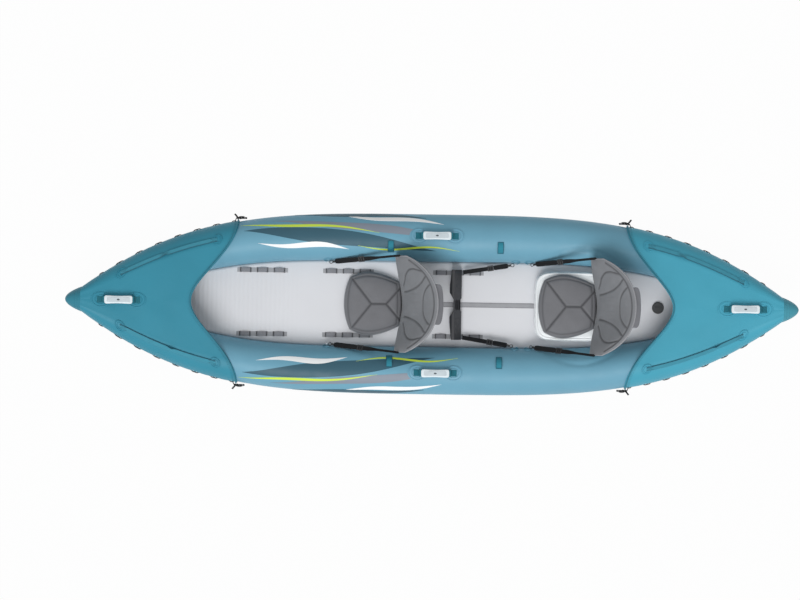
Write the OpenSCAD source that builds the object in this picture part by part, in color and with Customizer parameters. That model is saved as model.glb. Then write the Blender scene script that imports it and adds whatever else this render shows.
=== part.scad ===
// Two-seat inflatable touring kayak with laced bow and stern covers.
// Millimetres. The bow points along -X, starboard is +Y, and the keel lies on z = 0.

/* [Hull] */
// Length over both tip caps
hull_length = 4120; // [3900:10:4400]
// Width over the side tubes amidships
hull_beam = 1016; // [980:2:1060]
// Height of a side tube amidships
tube_d = 284; // [268:2:296]
// Width of a side tube amidships
tube_w = 268; // [252:2:280]
// Length of keel that lies flat on the ground
flat_keel = 1850; // [1750:10:1950]
// Height that the keel line gains at the tips
keel_rise = 190; // [160:5:210]
// Height that the tube crests gain at the tips
crest_rise = 40; // [20:5:60]
// Share of its width that a side tube loses towards the tips
tube_taper = 0.28; // [0.24:0.02:0.36]
// Fullness of the outline seen from above
plan_full = 3.6; // [3.5:0.05:3.8]
// Fineness of the ends seen from above
plan_fine = 1.1; // [1.06:0.02:1.14]
// Length of a tip cap
cap_l = 90; // [76:2:104]
// Thickness of the panel under the floor
panel_t = 2; // [1.5:0.5:3]

/* [Floor] */
// Thickness of the inflated floor
floor_t = 122; // [110:2:130]
// Length of the inflated floor
floor_l = 3200; // [3100:10:3280]
// Radius of the floor's long edges
floor_r = 18; // [12:1:50]
// Length of a webbing strip on the floor
strip_l = 286; // [240:2:310]
// Width of a webbing strip on the floor
strip_w = 25; // [20:1:30]
// Distance of the webbing strips from the centre line
strip_y = 180; // [150:1:186]
// Height of the loops sewn into a strip
strip_loop_h = 6; // [5:0.5:8]
// Width of the strip along the centre line
centre_strip_w = 28; // [20:1:36]

/* [Covers] */
// Distance from a tip to the middle of the cover's cockpit edge
cover_reach = 710; // [660:5:760]
// Length by which the cover's corners run on past the middle of its edge
cover_sweep = 260; // [220:5:290]
// Thickness of the cover fabric
cover_t = 2.5; // [2:0.5:3.5]
// Rise of the cover between the side tubes
cover_crown = 10; // [4:1:16]
// Diameter of the piping along the cockpit edge
piping_d = 8; // [6:0.5:10]
// Diameter of the lacing cord
lace_d = 5; // [4:0.5:6]
// Zigzags of the lacing along each side of a cover
lace_turns = 7; // [5:1:9]

/* [Handles and straps] */
// Distance of the end handles from the tips
end_handle_in = 305; // [280:5:340]
// Place of the side handles along the hull
side_handle_x = 24; // [-60:2:80]
// Length of a handle grip
grip_l = 157; // [140:1:170]
// Width of a handle grip
grip_w = 46; // [42:1:52]
// Thickness of a handle grip
grip_h = 15; // [12:1:18]
// Room for fingers under a grip
finger_gap = 18; // [14:1:24]
// Width of the handle webbing
handle_web = 36; // [30:1:38]
// Length of a handle over its webbing
handle_span = 241; // [230:1:260]
// Thickness of all webbing
web_t = 2; // [1.5:0.5:2.5]
// Diameter of a welded patch
patch_d = 76; // [64:2:84]
// Thickness of a welded patch
patch_t = 1.5; // [1:0.5:2]
// Distance from a tip to the near end of a deck strap
deck_strap_in = 315; // [290:5:400]
// Length of a deck strap
deck_strap_l = 535; // [440:5:560]
// Width of a deck strap
deck_strap_w = 22; // [16:1:28]
// Width of a gear loop
gear_loop_w = 34; // [28:1:40]
// Height of a gear loop over its tube
gear_loop_h = 9; // [6:1:20]

/* [Valves] */
// Distance of the floor valve from the stern end of the floor
floor_valve_in = 322; // [300:2:380]
// Distance of the side tube valves from the stern tip
tube_valve_in = 590; // [560:2:630]
// Diameter of a valve flange
valve_d = 67; // [60:1:72]
// Bore of a valve
valve_bore = 40; // [36:1:42]
// Stroke of the sprung valve stem
valve_stroke = 5; // [3:0.5:6]

/* [Seats] */
// Rear edge of the front seat base
front_seat_x = -171; // [-190:1:-150]
// Rear edge of the rear seat base
rear_seat_x = 923; // [910:1:950]
// Length of a seat base
seat_l = 322; // [305:1:340]
// Width of a seat base
seat_w = 360; // [330:2:380]
// Height of a seat base at its crown
seat_h = 55; // [45:1:65]
// Height of a backrest along its slope
back_h = 390; // [370:2:420]
// Width of a backrest around its curve
back_w = 580; // [560:4:620]
// Radius that the backrest curves to
back_wrap = 420; // [400:5:450]
// Thickness of a backrest
back_t = 44; // [36:1:50]
// Lean of a backrest from upright
recline = 30; // [24:1:34]
// Width of the bag on a backrest
pouch_w = 212; // [190:2:250]
// Height of the bag on a backrest
pouch_h = 215; // [180:5:230]
// Depth of the bag on a backrest
pouch_t = 34; // [24:1:40]
// Length of the cushion under the rear seat
booster_l = 403; // [380:1:420]
// Width of the cushion under the rear seat
booster_w = 386; // [370:2:400]
// Height of the cushion under the rear seat
booster_h = 74; // [60:1:84]
// Width of the seat webbing
seat_web = 25; // [20:1:28]
// Place of the front seat's anchor rings
front_ring_x = -588; // [-620:2:-560]
// Place of the rear seat's anchor rings
rear_ring_x = 545; // [530:2:570]

/* [Footrest] */
// Place of the footrest along the hull
footrest_x = 134; // [110:2:160]
// Distance between the footrest and a side tube
footrest_gap = 43.4; // [30:0.2:55]
// Length of the footrest along the hull
footrest_l = 67; // [60:1:76]
// Height of the footrest
footrest_h = 92; // [80:1:100]
// Width of the ribbed neck between the foot pads
neck_w = 78; // [60:1:90]
// Place of the footrest's anchor rings
foot_ring_x = 470; // [440:2:490]

/* [Fin] */
// Distance of the fin socket's middle from the stern tip
fin_in = 660; // [610:2:680]
// Length of the fin socket
fin_l = 200; // [170:2:210]
// Width of the slot that takes the fin
fin_slot = 9; // [7:0.5:11]

/* [Hidden] */
$fn = 48;
seat_gap = 0.3;
facet_gap = 1.3;
cover_gap = 2.8;
run_gap = 0.05;
tube_gap = 1;
half_l = hull_length/2;
end_handle_x = half_l - end_handle_in;
deck_strap_far = half_l - deck_strap_in;
deck_strap_near = deck_strap_far - deck_strap_l;
floor_valve_x = floor_l/2 - floor_valve_in;
tube_valve_x = half_l - tube_valve_in;
fin_x = half_l - fin_in;
tube_end = half_l - cap_l;
floor_top = panel_t + seat_gap + floor_t;
cover_out = cover_gap + cover_t;
strip_t = 2;
footrest_z = floor_top + strip_t + strip_loop_h + 2*seat_gap;

// Cross-section of the hull at a station x, for the starboard tube

function lift(x) = pow(max(0, (abs(x) - flat_keel/2)/(half_l - flat_keel/2)), 2);
function half_beam(x) = hull_beam/2*pow(max(0, 1 - pow(abs(x)/half_l, plan_full)), plan_fine);
function keel_z(x) = keel_rise*lift(x);
function crest_z(x) = tube_d + crest_rise*lift(x);
function soft_min(p, q) = pow(pow(p, -6) + pow(q, -6), -1/6);
function tube_a(x) = soft_min(tube_w/2*(1 - tube_taper*pow(x/half_l, 2)), (half_beam(x) - tube_gap/2)/2);
function tube_b(x) = (crest_z(x) - keel_z(x))/2;
function tube_y(x) = half_beam(x) - tube_a(x);
function tube_z(x) = (crest_z(x) + keel_z(x))/2;
function on_tube(x, turn, off) =
    [x, tube_y(x) + (tube_a(x) + off)*cos(turn), tube_z(x) + (tube_b(x) + off)*sin(turn)];
function tube_normal(x, turn) =
    unit(cross(on_tube(x, turn + 1, 0) - on_tube(x, turn - 1, 0), on_tube(x + 1, turn, 0) - on_tube(x - 1, turn, 0)));
function tube_inside(x) = tube_y(x) - tube_a(x);
function stations(reach, steps) = [for (i = [0:steps]) reach*sin(180*i/steps - 90)];

// Shapes that follow a path or fill a grid

function unit(v) = v/norm(v);
function lerp(p, q, t) = p + (q - p)*t;
function heading(path, i) = unit(path[min(i + 1, len(path) - 1)] - path[max(i - 1, 0)]);
function square_to(side, dir) = unit(side - dir*(side*dir));

// Closed solid through rings that run anticlockwise seen from the end they travel to
module loft(rings) {
    n = len(rings[0]);
    last = (len(rings) - 1)*n;
    sides = [for (i = [0:len(rings) - 2], j = [0:n - 1])
        let (a = i*n + j, b = i*n + (j + 1)%n)
        each [[a, b + n, b], [a, a + n, b + n]]];
    ends = [for (j = [1:n - 2]) each [[0, j, j + 1], [last, last + j + 1, last + j]]];
    polyhedron([for (ring = rings) each ring], concat(sides, ends), convexity = 8);
}

// Closed sheet between two grids; rows crossed with columns point out of the outer one
module sheet(outer, inner) {
    rows = len(outer);
    cols = len(outer[0]);
    n = rows*cols;
    skin = [for (r = [0:rows - 2], c = [0:cols - 2])
        let (a = r*cols + c, d = a + cols)
        each [[a, a + 1, d + 1], [a, d + 1, d], [n + a, n + d + 1, n + a + 1], [n + a, n + d, n + d + 1]]];
    row_ends = [for (c = [0:cols - 2])
        let (a = c, z = n - cols + c)
        each [[a + 1, a, n + a], [a + 1, n + a, n + a + 1], [z, z + 1, n + z + 1], [z, n + z + 1, n + z]]];
    col_ends = [for (r = [0:rows - 2])
        let (a = r*cols, b = a + cols, y = b - 1, z = y + cols)
        each [[a, b, n + b], [a, n + b, n + a], [z, y, n + y], [z, n + y, n + z]]];
    points = concat([for (row = outer) each row], [for (row = inner) each row]);
    polyhedron(points, concat(skin, row_ends, col_ends), convexity = 8);
}

// Flat webbing along a path, with its width near the side vector
module ribbon(path, side, width, thick) {
    loft([for (i = [0:len(path) - 1])
        let (dir = heading(path, i), a = square_to(side, dir)*width/2, n = cross(dir, unit(a))*thick/2)
        [path[i] - a - n, path[i] + a - n, path[i] + a + n, path[i] - a + n]]);
}

// Round cord along a path
module cord(path, d, side) {
    loft([for (i = [0:len(path) - 1])
        let (dir = heading(path, i), a = square_to(side, dir), n = cross(dir, a))
        [for (k = [0:5]) path[i] + d/2*(cos(60*k)*a + sin(60*k)*n)]]);
}

// Round patch that lies on a side tube, or on the cover over it
module tube_patch(x, turn, off, d = patch_d) {
    steps = 4;
    half = [for (i = [0:steps]) d/2*sin(180*i/steps - 90)];
    loft([for (i = [0:steps])
        let (s = half[i], swing = max(4, sqrt(d*d/4 - s*s))/tube_a(x)*180/PI)
        concat(
            [for (k = [-1.5:1.5]) on_tube(x + s*0.98, turn - swing*k/1.5, off)],
            [for (k = [-1.5:1.5]) on_tube(x + s*0.98, turn + swing*k/1.5, off + patch_t)])]);
}

module both_sides() {
    children();
    mirror([0, 1, 0]) children();
}

module port_side() {
    mirror([0, 1, 0]) children();
}

module bow_end() {
    mirror([1, 0, 0]) children();
}

// Rectangle with round corners
module round_rect(l, w, r) {
    square([l - 2*r, w], center = true);
    square([l, w - 2*r], center = true);
    for (x = [-1, 1], y = [-1, 1])
        translate([x*(l/2 - r), y*(w/2 - r)])
            circle(r);
}

// Side tubes

tube_steps = 32;
tube_sides = 22;

module tube_body() {
    loft([for (x = stations(tube_end, tube_steps))
        [for (k = [0:tube_sides - 1]) on_tube(x, 360*k/tube_sides, 0)]]);
}

module starboard_side_tube() {
    color("#74a6bb") difference() {
        tube_body();
        at_tube_valve() translate([0, 0, -valve_depth]) cylinder(d = valve_pocket, h = 2*valve_depth);
    }
}

module port_side_tube() {
    port_side() starboard_side_tube();
}

// Floor and bottom panel

floor_side_gap = 1;

function floor_half(x) = tube_inside(x) - floor_side_gap;
function floor_ring(x) =
    let (low = keel_z(x) + panel_t + 2*seat_gap, r = min(floor_r, 0.45*(floor_top - low)), w = floor_half(x))
    [for (q = [0:3], k = [0:3])
        let (turn = 90*q + 30*k)
        [x, (q == 0 || q == 3 ? 1 : -1)*(w - r) + r*cos(turn),
            (q < 2 ? floor_top - r : low + r) + r*sin(turn)]];

module floor_chamber() {
    color("#d2d3d7") difference() {
        loft([for (x = stations(floor_l/2, 24)) floor_ring(x)]);
        at_floor_valve() translate([0, 0, -valve_depth]) cylinder(d = valve_pocket, h = 2*valve_depth);
    }
}

panel_steps = 8;
panel_end = 0.85*half_l;

function panel_half(x) = tube_y(x) - tube_a(x)*sqrt(2*(panel_t + seat_gap)/tube_b(x)) - seat_gap;

module bottom_panel() {
    flat = flat_keel/2;
    edge = [for (i = [0:panel_steps]) lerp(-flat, flat, i/panel_steps)];
    color("#3f6d7c") {
        linear_extrude(panel_t) polygon(concat(
            [for (x = edge) [x, panel_half(x)]],
            [for (i = [panel_steps:-1:0]) [edge[i], -panel_half(edge[i])]]));
        for (end = [0, 1])
            mirror([end, 0, 0])
                loft([for (i = [0:panel_steps])
                    let (x = lerp(flat, panel_end, i/panel_steps), w = panel_half(x), z = keel_z(x))
                    [[x, -w, z], [x, w, z], [x, w, z + panel_t], [x, -w, z + panel_t]]]);
    }
}

// Tip caps

cap_wall = 2;
cap_sides = 20;
cap_steps = 8;

module stern_tip_cap() {
    color("#3a7888") loft([for (i = [0:cap_steps])
        let (
            shrink = max(0.04, 1 - i/cap_steps),
            x = tube_end + seat_gap + (cap_l - seat_gap)*(1 - shrink*shrink)*(i == cap_steps ? 1/0.9984 : 1),
            a = (half_beam(tube_end) + cover_out + cap_wall)*shrink,
            b = (tube_b(tube_end) + cover_out + cap_wall)*pow(shrink, 0.7))
        [for (k = [0:cap_sides - 1])
            [x, a*cos(360*k/cap_sides), tube_z(tube_end) + b*sin(360*k/cap_sides)]]]);
}

module bow_tip_cap() {
    bow_end() stern_tip_cap();
}

// Covers: across the middle from crest to crest, then down the outside of each tube

flat_n = 4;
wrap_n = 9;
hem_drop = 5;
cover_rows = 10;
cover_cols = flat_n + wrap_n;
corner_x = half_l - cover_reach - cover_sweep;

function cover_point(k, x, off) =
    let (m = abs(k), side = sign(k), f = m/flat_n)
    m <= flat_n
        ? [x, side*f*tube_y(x), crest_z(x) + off + cover_crown*(1 - f*f)*tube_y(x)/tube_y(0)]
        : let (p = on_tube(x, 90 - (90 + hem_drop)*(m - flat_n)/wrap_n, off)) [x, side*p.y, p.z];
function cover_edge_x(k) =
    let (q = min(1, abs(cover_point(k, corner_x, 0).y)/half_beam(corner_x)))
    half_l - cover_reach - cover_sweep*(1 - cos(180*q))/2;
function cover_grid(off) = [for (r = [0:cover_rows])
    [for (k = [-cover_cols:cover_cols])
        let (f = r/cover_rows)
        cover_point(k, lerp(tube_end, cover_edge_x(k), 1 - (1 - f)*(1 - f)), off)]];

module stern_cover() {
    color("#4d9ab0") sheet(cover_grid(cover_out), cover_grid(cover_gap));
}

module bow_cover() {
    bow_end() stern_cover();
}

module stern_cover_piping() {
    path = [for (k = [-cover_cols:cover_cols])
        cover_point(k, cover_edge_x(k) + piping_d, cover_out + piping_d/2 + 2*seat_gap)];
    color("#3c8195") cord(path, piping_d, [1, 0, 0]);
}

module bow_cover_piping() {
    bow_end() stern_cover_piping();
}

// Lacing between the hem of a cover and the side of the hull, with a knotted tail at the corner

lace_in = 190;
lace_far = half_l - lace_in;
lace_hull_turn = -26;
lace_edge_turn = -hem_drop - 2;
lace_tail = 65;

lace_gap = 1;

function lace_off(on_cover) = (on_cover ? cover_out : 0) + lace_d/2 + lace_gap;
function lace_zig(i) =
    let (
        pitch = (lace_far - corner_x - 5*lace_d)/lace_turns,
        x = lace_far - pitch*i)
    [
        on_tube(x, 2, lace_off(true)),
        on_tube(x - 0.15*pitch, lace_edge_turn, lace_off(true)),
        on_tube(x - 0.36*pitch, lace_hull_turn, lace_off(false)),
        on_tube(x - 0.50*pitch, lace_hull_turn - 2, lace_off(false)),
        on_tube(x - 0.64*pitch, lace_hull_turn, lace_off(false)),
        on_tube(x - 0.85*pitch, lace_edge_turn, lace_off(true))
    ];
lace_end = on_tube(corner_x + 5*lace_d, 2, lace_off(true));
lace_path = concat(
    [for (i = [0:lace_turns - 1]) each lace_zig(i)],
    [lace_end,
        lace_end + lace_d*[-1, 2.2, 0.5],
        lace_end + lace_d*[-4, 3, 0.5],
        lace_end + [-lace_tail, 2.4*lace_d, 0]]);

module stern_starboard_lacing() {
    color("#292c31") cord(lace_path, lace_d, [0, 1, 0.3]);
}

module stern_port_lacing() {
    port_side() stern_starboard_lacing();
}

module bow_starboard_lacing() {
    bow_end() stern_starboard_lacing();
}

module bow_port_lacing() {
    bow_end() stern_port_lacing();
}

// Webbing along the covers, over the crest of each tube

deck_strap_turn = 72;
deck_strap_steps = 9;
deck_patch_d = 60;

function deck_strap_off(i) =
    cover_out + facet_gap + patch_t + 2*seat_gap + web_t/2 + 2*sin(180*i/deck_strap_steps);

module stern_starboard_deck_strap() {
    path = [for (i = [0:deck_strap_steps])
        on_tube(lerp(deck_strap_near, deck_strap_far, i/deck_strap_steps), deck_strap_turn, deck_strap_off(i))];
    color("#457f8e") ribbon(path, [0, sin(deck_strap_turn), -cos(deck_strap_turn)], deck_strap_w, web_t);
}

module stern_port_deck_strap() {
    port_side() stern_starboard_deck_strap();
}

module bow_starboard_deck_strap() {
    bow_end() stern_starboard_deck_strap();
}

module bow_port_deck_strap() {
    bow_end() stern_port_deck_strap();
}

// Carrying handles, drawn flat and then set on the deck or on the crest of a tube

patch_reach = (handle_span - patch_d)/2;
web_rise = patch_t + seat_gap + web_t/2;
grip_mid = finger_gap + grip_h/2;
slot_play = 0.5;
grip_round = 0.3;

function deck_z(x) = crest_z(x) + cover_out + cover_crown*tube_y(x)/tube_y(0);
deck_span = handle_span/2;
deck_slope = atan((deck_z(end_handle_x + deck_span) - deck_z(end_handle_x - deck_span))/handle_span);
side_handle_turn = 86;

module on_stern_deck() {
    translate([end_handle_x, 0, deck_z(end_handle_x) + facet_gap])
        rotate([0, -deck_slope, 0])
            children();
}

module on_starboard_crest() {
    translate(on_tube(side_handle_x, side_handle_turn, 2*seat_gap))
        rotate([side_handle_turn - 90, 0, 0])
            children();
}

module handle_grip() {
    waist_r = grip_l;
    waist_depth = 2;
    color("#dde5e8") translate([0, 0, finger_gap]) difference() {
        intersection() {
            linear_extrude(grip_h) difference() {
                round_rect(grip_l, grip_w, grip_w/4);
                for (y = [-1, 1])
                    translate([0, y*(grip_w/2 + waist_r - waist_depth)])
                        circle(waist_r, $fn = 96);
            }
            rotate([90, 0, 90])
                translate([0, grip_h/2, -grip_l/2])
                    linear_extrude(grip_l)
                        round_rect(grip_w, grip_h, grip_h*grip_round);
        }
        translate([-grip_l, -handle_web/2 - slot_play, grip_h/2 - web_t/2 - slot_play])
            cube([2*grip_l, handle_web + 2*slot_play, web_t + 2*slot_play]);
    }
}

module handle_strap() {
    flat = handle_span/2;
    knee = flat - patch_d/2;
    straight = grip_l/2 + 4;
    arm = [[flat, web_rise], [knee + 8, web_rise], [lerp(knee, straight, 0.5) + 4, lerp(web_rise, grip_mid, 0.5)],
        [straight, grip_mid], [0, grip_mid]];
    path = concat(
        [for (p = arm) [-p.x, 0, p.y]],
        [for (i = [3:-1:0]) [arm[i].x, 0, arm[i].y]]);
    color("#457f8e") ribbon(path, [0, 1, 0], handle_web, web_t);
}

module stern_handle_grip() {
    on_stern_deck() handle_grip();
}

module bow_handle_grip() {
    bow_end() stern_handle_grip();
}

module starboard_handle_grip() {
    on_starboard_crest() handle_grip();
}

module port_handle_grip() {
    port_side() starboard_handle_grip();
}

module stern_handle_strap() {
    on_stern_deck() handle_strap();
}

module bow_handle_strap() {
    bow_end() stern_handle_strap();
}

module starboard_handle_strap() {
    on_starboard_crest() handle_strap();
}

module port_handle_strap() {
    port_side() starboard_handle_strap();
}

// Patches that are welded to the covers and tubes under handles, straps and rings

ring_patch_d = 52;
tab_w = 18;

// Webbing that ties an anchor ring to its patch
module ring_tab(ring, pull) {
    heel = on_tube(ring.x - sign(pull.x)*ring_patch_d/2.4, ring_turn, patch_t + web_t/2 + 6*seat_gap);
    toe = ring - pull*(ring_wire/2 + web_t/2 + 5*seat_gap);
    ribbon([heel, lerp(heel, toe, 0.5), toe], square_to([0, 0, 1], pull), tab_w, web_t);
}

module welded_patches() {
    color("#6b9fb4") {
        both_sides() {
            for (end = [0, 1])
                mirror([end, 0, 0])
                    for (x = [deck_strap_near, deck_strap_far])
                        tube_patch(x, deck_strap_turn, cover_out + facet_gap, deck_patch_d);
            for (x = [-patch_reach, patch_reach])
                tube_patch(side_handle_x + x, side_handle_turn, 2*seat_gap);
            for (set = ring_sets) {
                tube_patch(set[0].x, ring_turn, 4*seat_gap, ring_patch_d);
                ring_tab(set[0], unit(set[1] - set[0]));
            }
        }
        for (end = [0, 1], x = [-patch_reach, patch_reach])
            mirror([end, 0, 0])
                on_stern_deck()
                    translate([x, 0, 0])
                        cylinder(d = patch_d, h = patch_t);
    }
}

// Loops of webbing on the inner shoulder of each tube

gear_loop_fore_x = -235;
gear_loop_aft_x = 381;
gear_loop_from = 98;
gear_loop_to = 129;
gear_loop_steps = 8;

module gear_loops() {
    color("#4d8796") both_sides() for (x = [gear_loop_fore_x, gear_loop_aft_x]) {
        path = [for (i = [0:gear_loop_steps])
            let (f = i/gear_loop_steps)
            on_tube(x, lerp(gear_loop_from, gear_loop_to, f),
                2*seat_gap + web_t/2 + gear_loop_h*pow(sin(180*f), 0.8))];
        ribbon(path, [1, 0, 0], gear_loop_w, web_t);
    }
}

// Webbing on the floor

strip_bow_x = -958;
strip_mid_x = -473;
strip_aft_x = 148;
strip_loops = 3;
loop_l = 54;
loop_foot = 6;
loop_steps = 8;

function loop_curve(from, to, rise) = [for (i = [0:loop_steps])
    [lerp(from, to, i/loop_steps), strip_t/2 + rise*sin(180*i/loop_steps)]];

module floor_strip() {
    pitch = strip_l/strip_loops;
    rotate([90, 0, 0]) linear_extrude(strip_w, center = true) {
        translate([-strip_l/2, 0]) square([strip_l, strip_t]);
        for (i = [0:strip_loops - 1]) {
            mid = -strip_l/2 + pitch*(i + 0.5);
            difference() {
                polygon(loop_curve(mid - loop_l/2, mid + loop_l/2, strip_loop_h + strip_t/2));
                polygon(loop_curve(mid - loop_l/2 + loop_foot, mid + loop_l/2 - loop_foot, strip_loop_h - web_t/2));
            }
        }
    }
}

module starboard_floor_strips() {
    color("#9a9b9f") for (x = [strip_bow_x, strip_mid_x, strip_aft_x])
        translate([x, strip_y, floor_top + seat_gap]) floor_strip();
}

module port_floor_strips() {
    port_side() starboard_floor_strips();
}

module floor_centre_strip() {
    from = front_seat_x + 20;
    to = rear_seat_x - seat_l - 40;
    color("#9c9da1") translate([from, -centre_strip_w/2, floor_top + seat_gap])
        cube([to - from, centre_strip_w, strip_t]);
}

// Valves: a flanged body, a sprung stem that seals from inside and a cap that turns to lock

valve_flange_t = 2;
valve_collar_h = 8;
valve_depth = 16;
valve_wall = 4;
valve_pocket = valve_bore + 2*valve_wall + 2*seat_gap;
stem_d = 8;
guide_z = -6;
guide_t = 3;
seal_t = 2;
cap_lid_t = 4;
cap_plug_h = 6;
tube_valve_turn = 128;

module at_floor_valve() {
    translate([floor_valve_x, 0, floor_top + seat_gap]) children();
}

module at_tube_valve() {
    out = tube_normal(tube_valve_x, tube_valve_turn);
    translate(on_tube(tube_valve_x, tube_valve_turn, 0) + out*facet_gap)
        rotate([0, acos(out.z), atan2(out.y, out.x)])
            children();
}

module valve_base() {
    floor_of_body = seat_gap - valve_depth + seat_gap;
    color("#3e4346") difference() {
        union() {
            cylinder(d = valve_d, h = valve_flange_t);
            translate([0, 0, floor_of_body])
                cylinder(d = valve_bore + 2*valve_wall, h = valve_collar_h - floor_of_body);
        }
        translate([0, 0, guide_z + guide_t]) cylinder(d = valve_bore, h = valve_depth);
        translate([0, 0, floor_of_body - 1]) cylinder(d = valve_bore, h = guide_z - floor_of_body + 1);
        translate([0, 0, guide_z - 1]) cylinder(d = stem_d + 2*run_gap, h = guide_t + 2);
        for (k = [0:3])
            rotate(90*k + 45)
                translate([valve_bore*0.32, 0, guide_z - 1])
                    cylinder(d = valve_bore/5, h = guide_t + 2);
    }
}

module valve_plunger() {
    button_h = valve_stroke + seat_gap;
    color("#22262a") {
        translate([0, 0, guide_z - seat_gap - seal_t]) cylinder(d = valve_bore - 8, h = seal_t);
        translate([0, 0, guide_z - seat_gap]) cylinder(d = stem_d, h = guide_t + seat_gap + button_h);
        translate([0, 0, guide_z + guide_t + button_h]) cylinder(d = stem_d + 4, h = seal_t);
    }
}

module valve_cap() {
    bar_w = 8;
    bar_h = 6;
    color("#33383c") {
        translate([0, 0, valve_collar_h + seat_gap]) cylinder(d = valve_d - 6, h = cap_lid_t);
        translate([0, 0, valve_collar_h + seat_gap - cap_plug_h]) difference() {
            cylinder(d = valve_bore - 2*run_gap, h = cap_plug_h);
            translate([0, 0, -1]) cylinder(d = valve_bore - 8, h = cap_plug_h);
        }
        translate([-valve_bore/2, -bar_w/2, valve_collar_h + seat_gap + cap_lid_t])
            cube([valve_bore, bar_w, bar_h]);
    }
}

module floor_valve_base() {
    at_floor_valve() valve_base();
}

module floor_valve_plunger() {
    at_floor_valve() valve_plunger();
}

module floor_valve_cap() {
    at_floor_valve() valve_cap();
}

module starboard_valve_base() {
    at_tube_valve() valve_base();
}

module starboard_valve_plunger() {
    at_tube_valve() valve_plunger();
}

module starboard_valve_cap() {
    at_tube_valve() valve_cap();
}

module port_valve_base() {
    port_side() starboard_valve_base();
}

module port_valve_plunger() {
    port_side() starboard_valve_plunger();
}

module port_valve_cap() {
    port_side() starboard_valve_cap();
}

// Seats: a channelled base, and a backrest that curves round the paddler

seat_rows = 22;
seat_cols = 18;
seat_edge = 16;
seat_lip = 3;
channel_w = 10;
channel_depth = 7;
front_base_z = footrest_z;
rear_base_z = floor_top + seat_gap + booster_h + seat_gap;
hinge_back = 8;
hinge_up = 34;
front_hinge = [front_seat_x + hinge_back, front_base_z + hinge_up];
rear_hinge = [rear_seat_x + hinge_back, rear_base_z + hinge_up];

function to_line(p, a, b) =
    let (ab = b - a, t = max(0, min(1, ((p - a)*ab)/(ab*ab)))) norm(p - a - t*ab);
function dent(dist) = exp(-pow(dist/channel_w, 2));

// Channels of a seat base, in shares of its half length and half width: a spine with a fork at each end
spine_fore = -0.05;
spine_aft = 0.41;
seat_forks = [
    [[spine_fore, 0], [spine_aft, 0]],
    [[spine_fore, 0], [-0.72, 0.76]],
    [[spine_fore, 0], [-0.72, -0.76]],
    [[spine_aft, 0], [1, 0.57]],
    [[spine_aft, 0], [1, -0.57]]];

function seat_half(px) = seat_w/2*(1 - 0.3*pow(max(0, (px + 0.4)/1.4), 2));
function seat_plan(p, q) =
    let (x = p*sqrt(1 - 0.36*q*q), y = q*sqrt(1 - 0.36*p*p))
    [seat_l/2*x, seat_half(x)*y];
function on_seat(share) = [seat_l/2*share.x, seat_w/2*share.y];
function seat_dent(p, q) =
    let (at = seat_plan(p, q), rim = max(abs(p), abs(q)))
    max(concat(
        [for (f = seat_forks) dent(to_line(at, on_seat(f[0]), on_seat(f[1])))],
        [dent((rim - 0.86)*seat_l/2)]));
function seat_top(p, q) =
    let (dome = sqrt(max(0, (1 - pow(abs(p), 5))*(1 - pow(abs(q), 5)))))
    seat_edge + (seat_h - seat_edge)*dome - channel_depth*seat_dent(p, q)*min(1, 2*dome);
function seat_grid(top) = [for (i = [0:seat_rows])
    let (p = sin(180*i/seat_rows - 90))
    [for (j = [0:seat_cols])
        let (q = sin(180*j/seat_cols - 90), at = seat_plan(p, q), tuck = top ? 1 : 0.97)
        [at.x*tuck, at.y*tuck, top ? seat_top(p, q) : 0]]];

module seat_base(rear_x, z) {
    color("#707175") translate([rear_x - seat_l/2, 0, z]) sheet(seat_grid(true), seat_grid(false));
}

module front_seat_base() {
    seat_base(front_seat_x, front_base_z);
}

module rear_seat_base() {
    seat_base(rear_seat_x, rear_base_z);
}

// A point of a backrest: u around its curve, v up its slope, n in front of its middle surface
function back_point(hinge, u, v, n) =
    let (
        turn = u/back_wrap*180/PI,
        fore = back_wrap - (back_wrap - n)*cos(turn))
    [
        hinge.x + v*sin(recline) - fore*cos(recline),
        (back_wrap - n)*sin(turn),
        hinge.y + v*cos(recline) + fore*sin(recline)
    ];

back_rows = 12;
back_cols = 22;
back_edge = 3;
shoulder_drop = 80;
corner_drop = 110;
wing_lift = 80;
wing_start = 0.4;
back_slack = 0.85;

function back_top(n) = back_h - shoulder_drop*n*n - corner_drop*pow(n, 4);
function back_low(n) = wing_lift*pow(max(0, (n - wing_start)/(1 - wing_start)), 2);
// Distance from the stitching of a backrest: a leaf on each side, and a crescent along the top
leaf_u = 135;
leaf_v = 205;
leaf_l = 128;
leaf_w = 54;
leaf_turn = 72;
crescent_u = 112;
crescent_h = 112;
function leaf_share(u, v) =
    let (p = u - leaf_u, q = v - leaf_v)
    norm([(p*cos(leaf_turn) + q*sin(leaf_turn))/leaf_l, (q*cos(leaf_turn) - p*sin(leaf_turn))/leaf_w]);
function back_panel(u, v) = min(
    abs(leaf_share(u, v) - 1)*leaf_w,
    u < crescent_u ? abs(v - back_h + crescent_h*(1 - pow(u/crescent_u, 2))) : back_h);
function back_half(n, f, v) =
    let (
        rim = sqrt(max(0, (1 - pow(n, 6))*(1 - pow(abs(2*f - 1), 5)))),
        crease = dent(back_panel(n*back_w/2, v)))
    back_edge/2 + (back_t - back_edge)/2*rim*(1 - 0.3*crease);
function back_grid(hinge, face) = [for (i = [0:back_rows])
    let (f = (1 - cos(180*i/back_rows))/2)
    [for (j = [0:back_cols])
        let (s = sin(180*j/back_cols - 90), n = abs(s), v = lerp(back_low(n), back_top(n), f))
        back_point(hinge, s*back_w/2, v, face > 0 ? back_half(n, f, v) : -back_half(n, f, v)*back_slack)]];

module backrest(hinge) {
    color("#797a7e") sheet(back_grid(hinge, -1), back_grid(hinge, 1));
}

module front_backrest() {
    backrest(front_hinge);
}

module rear_backrest() {
    backrest(rear_hinge);
}

// Fabric that joins a seat base to its backrest
flap_w = 220;
flap_t = 1.5;

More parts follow.
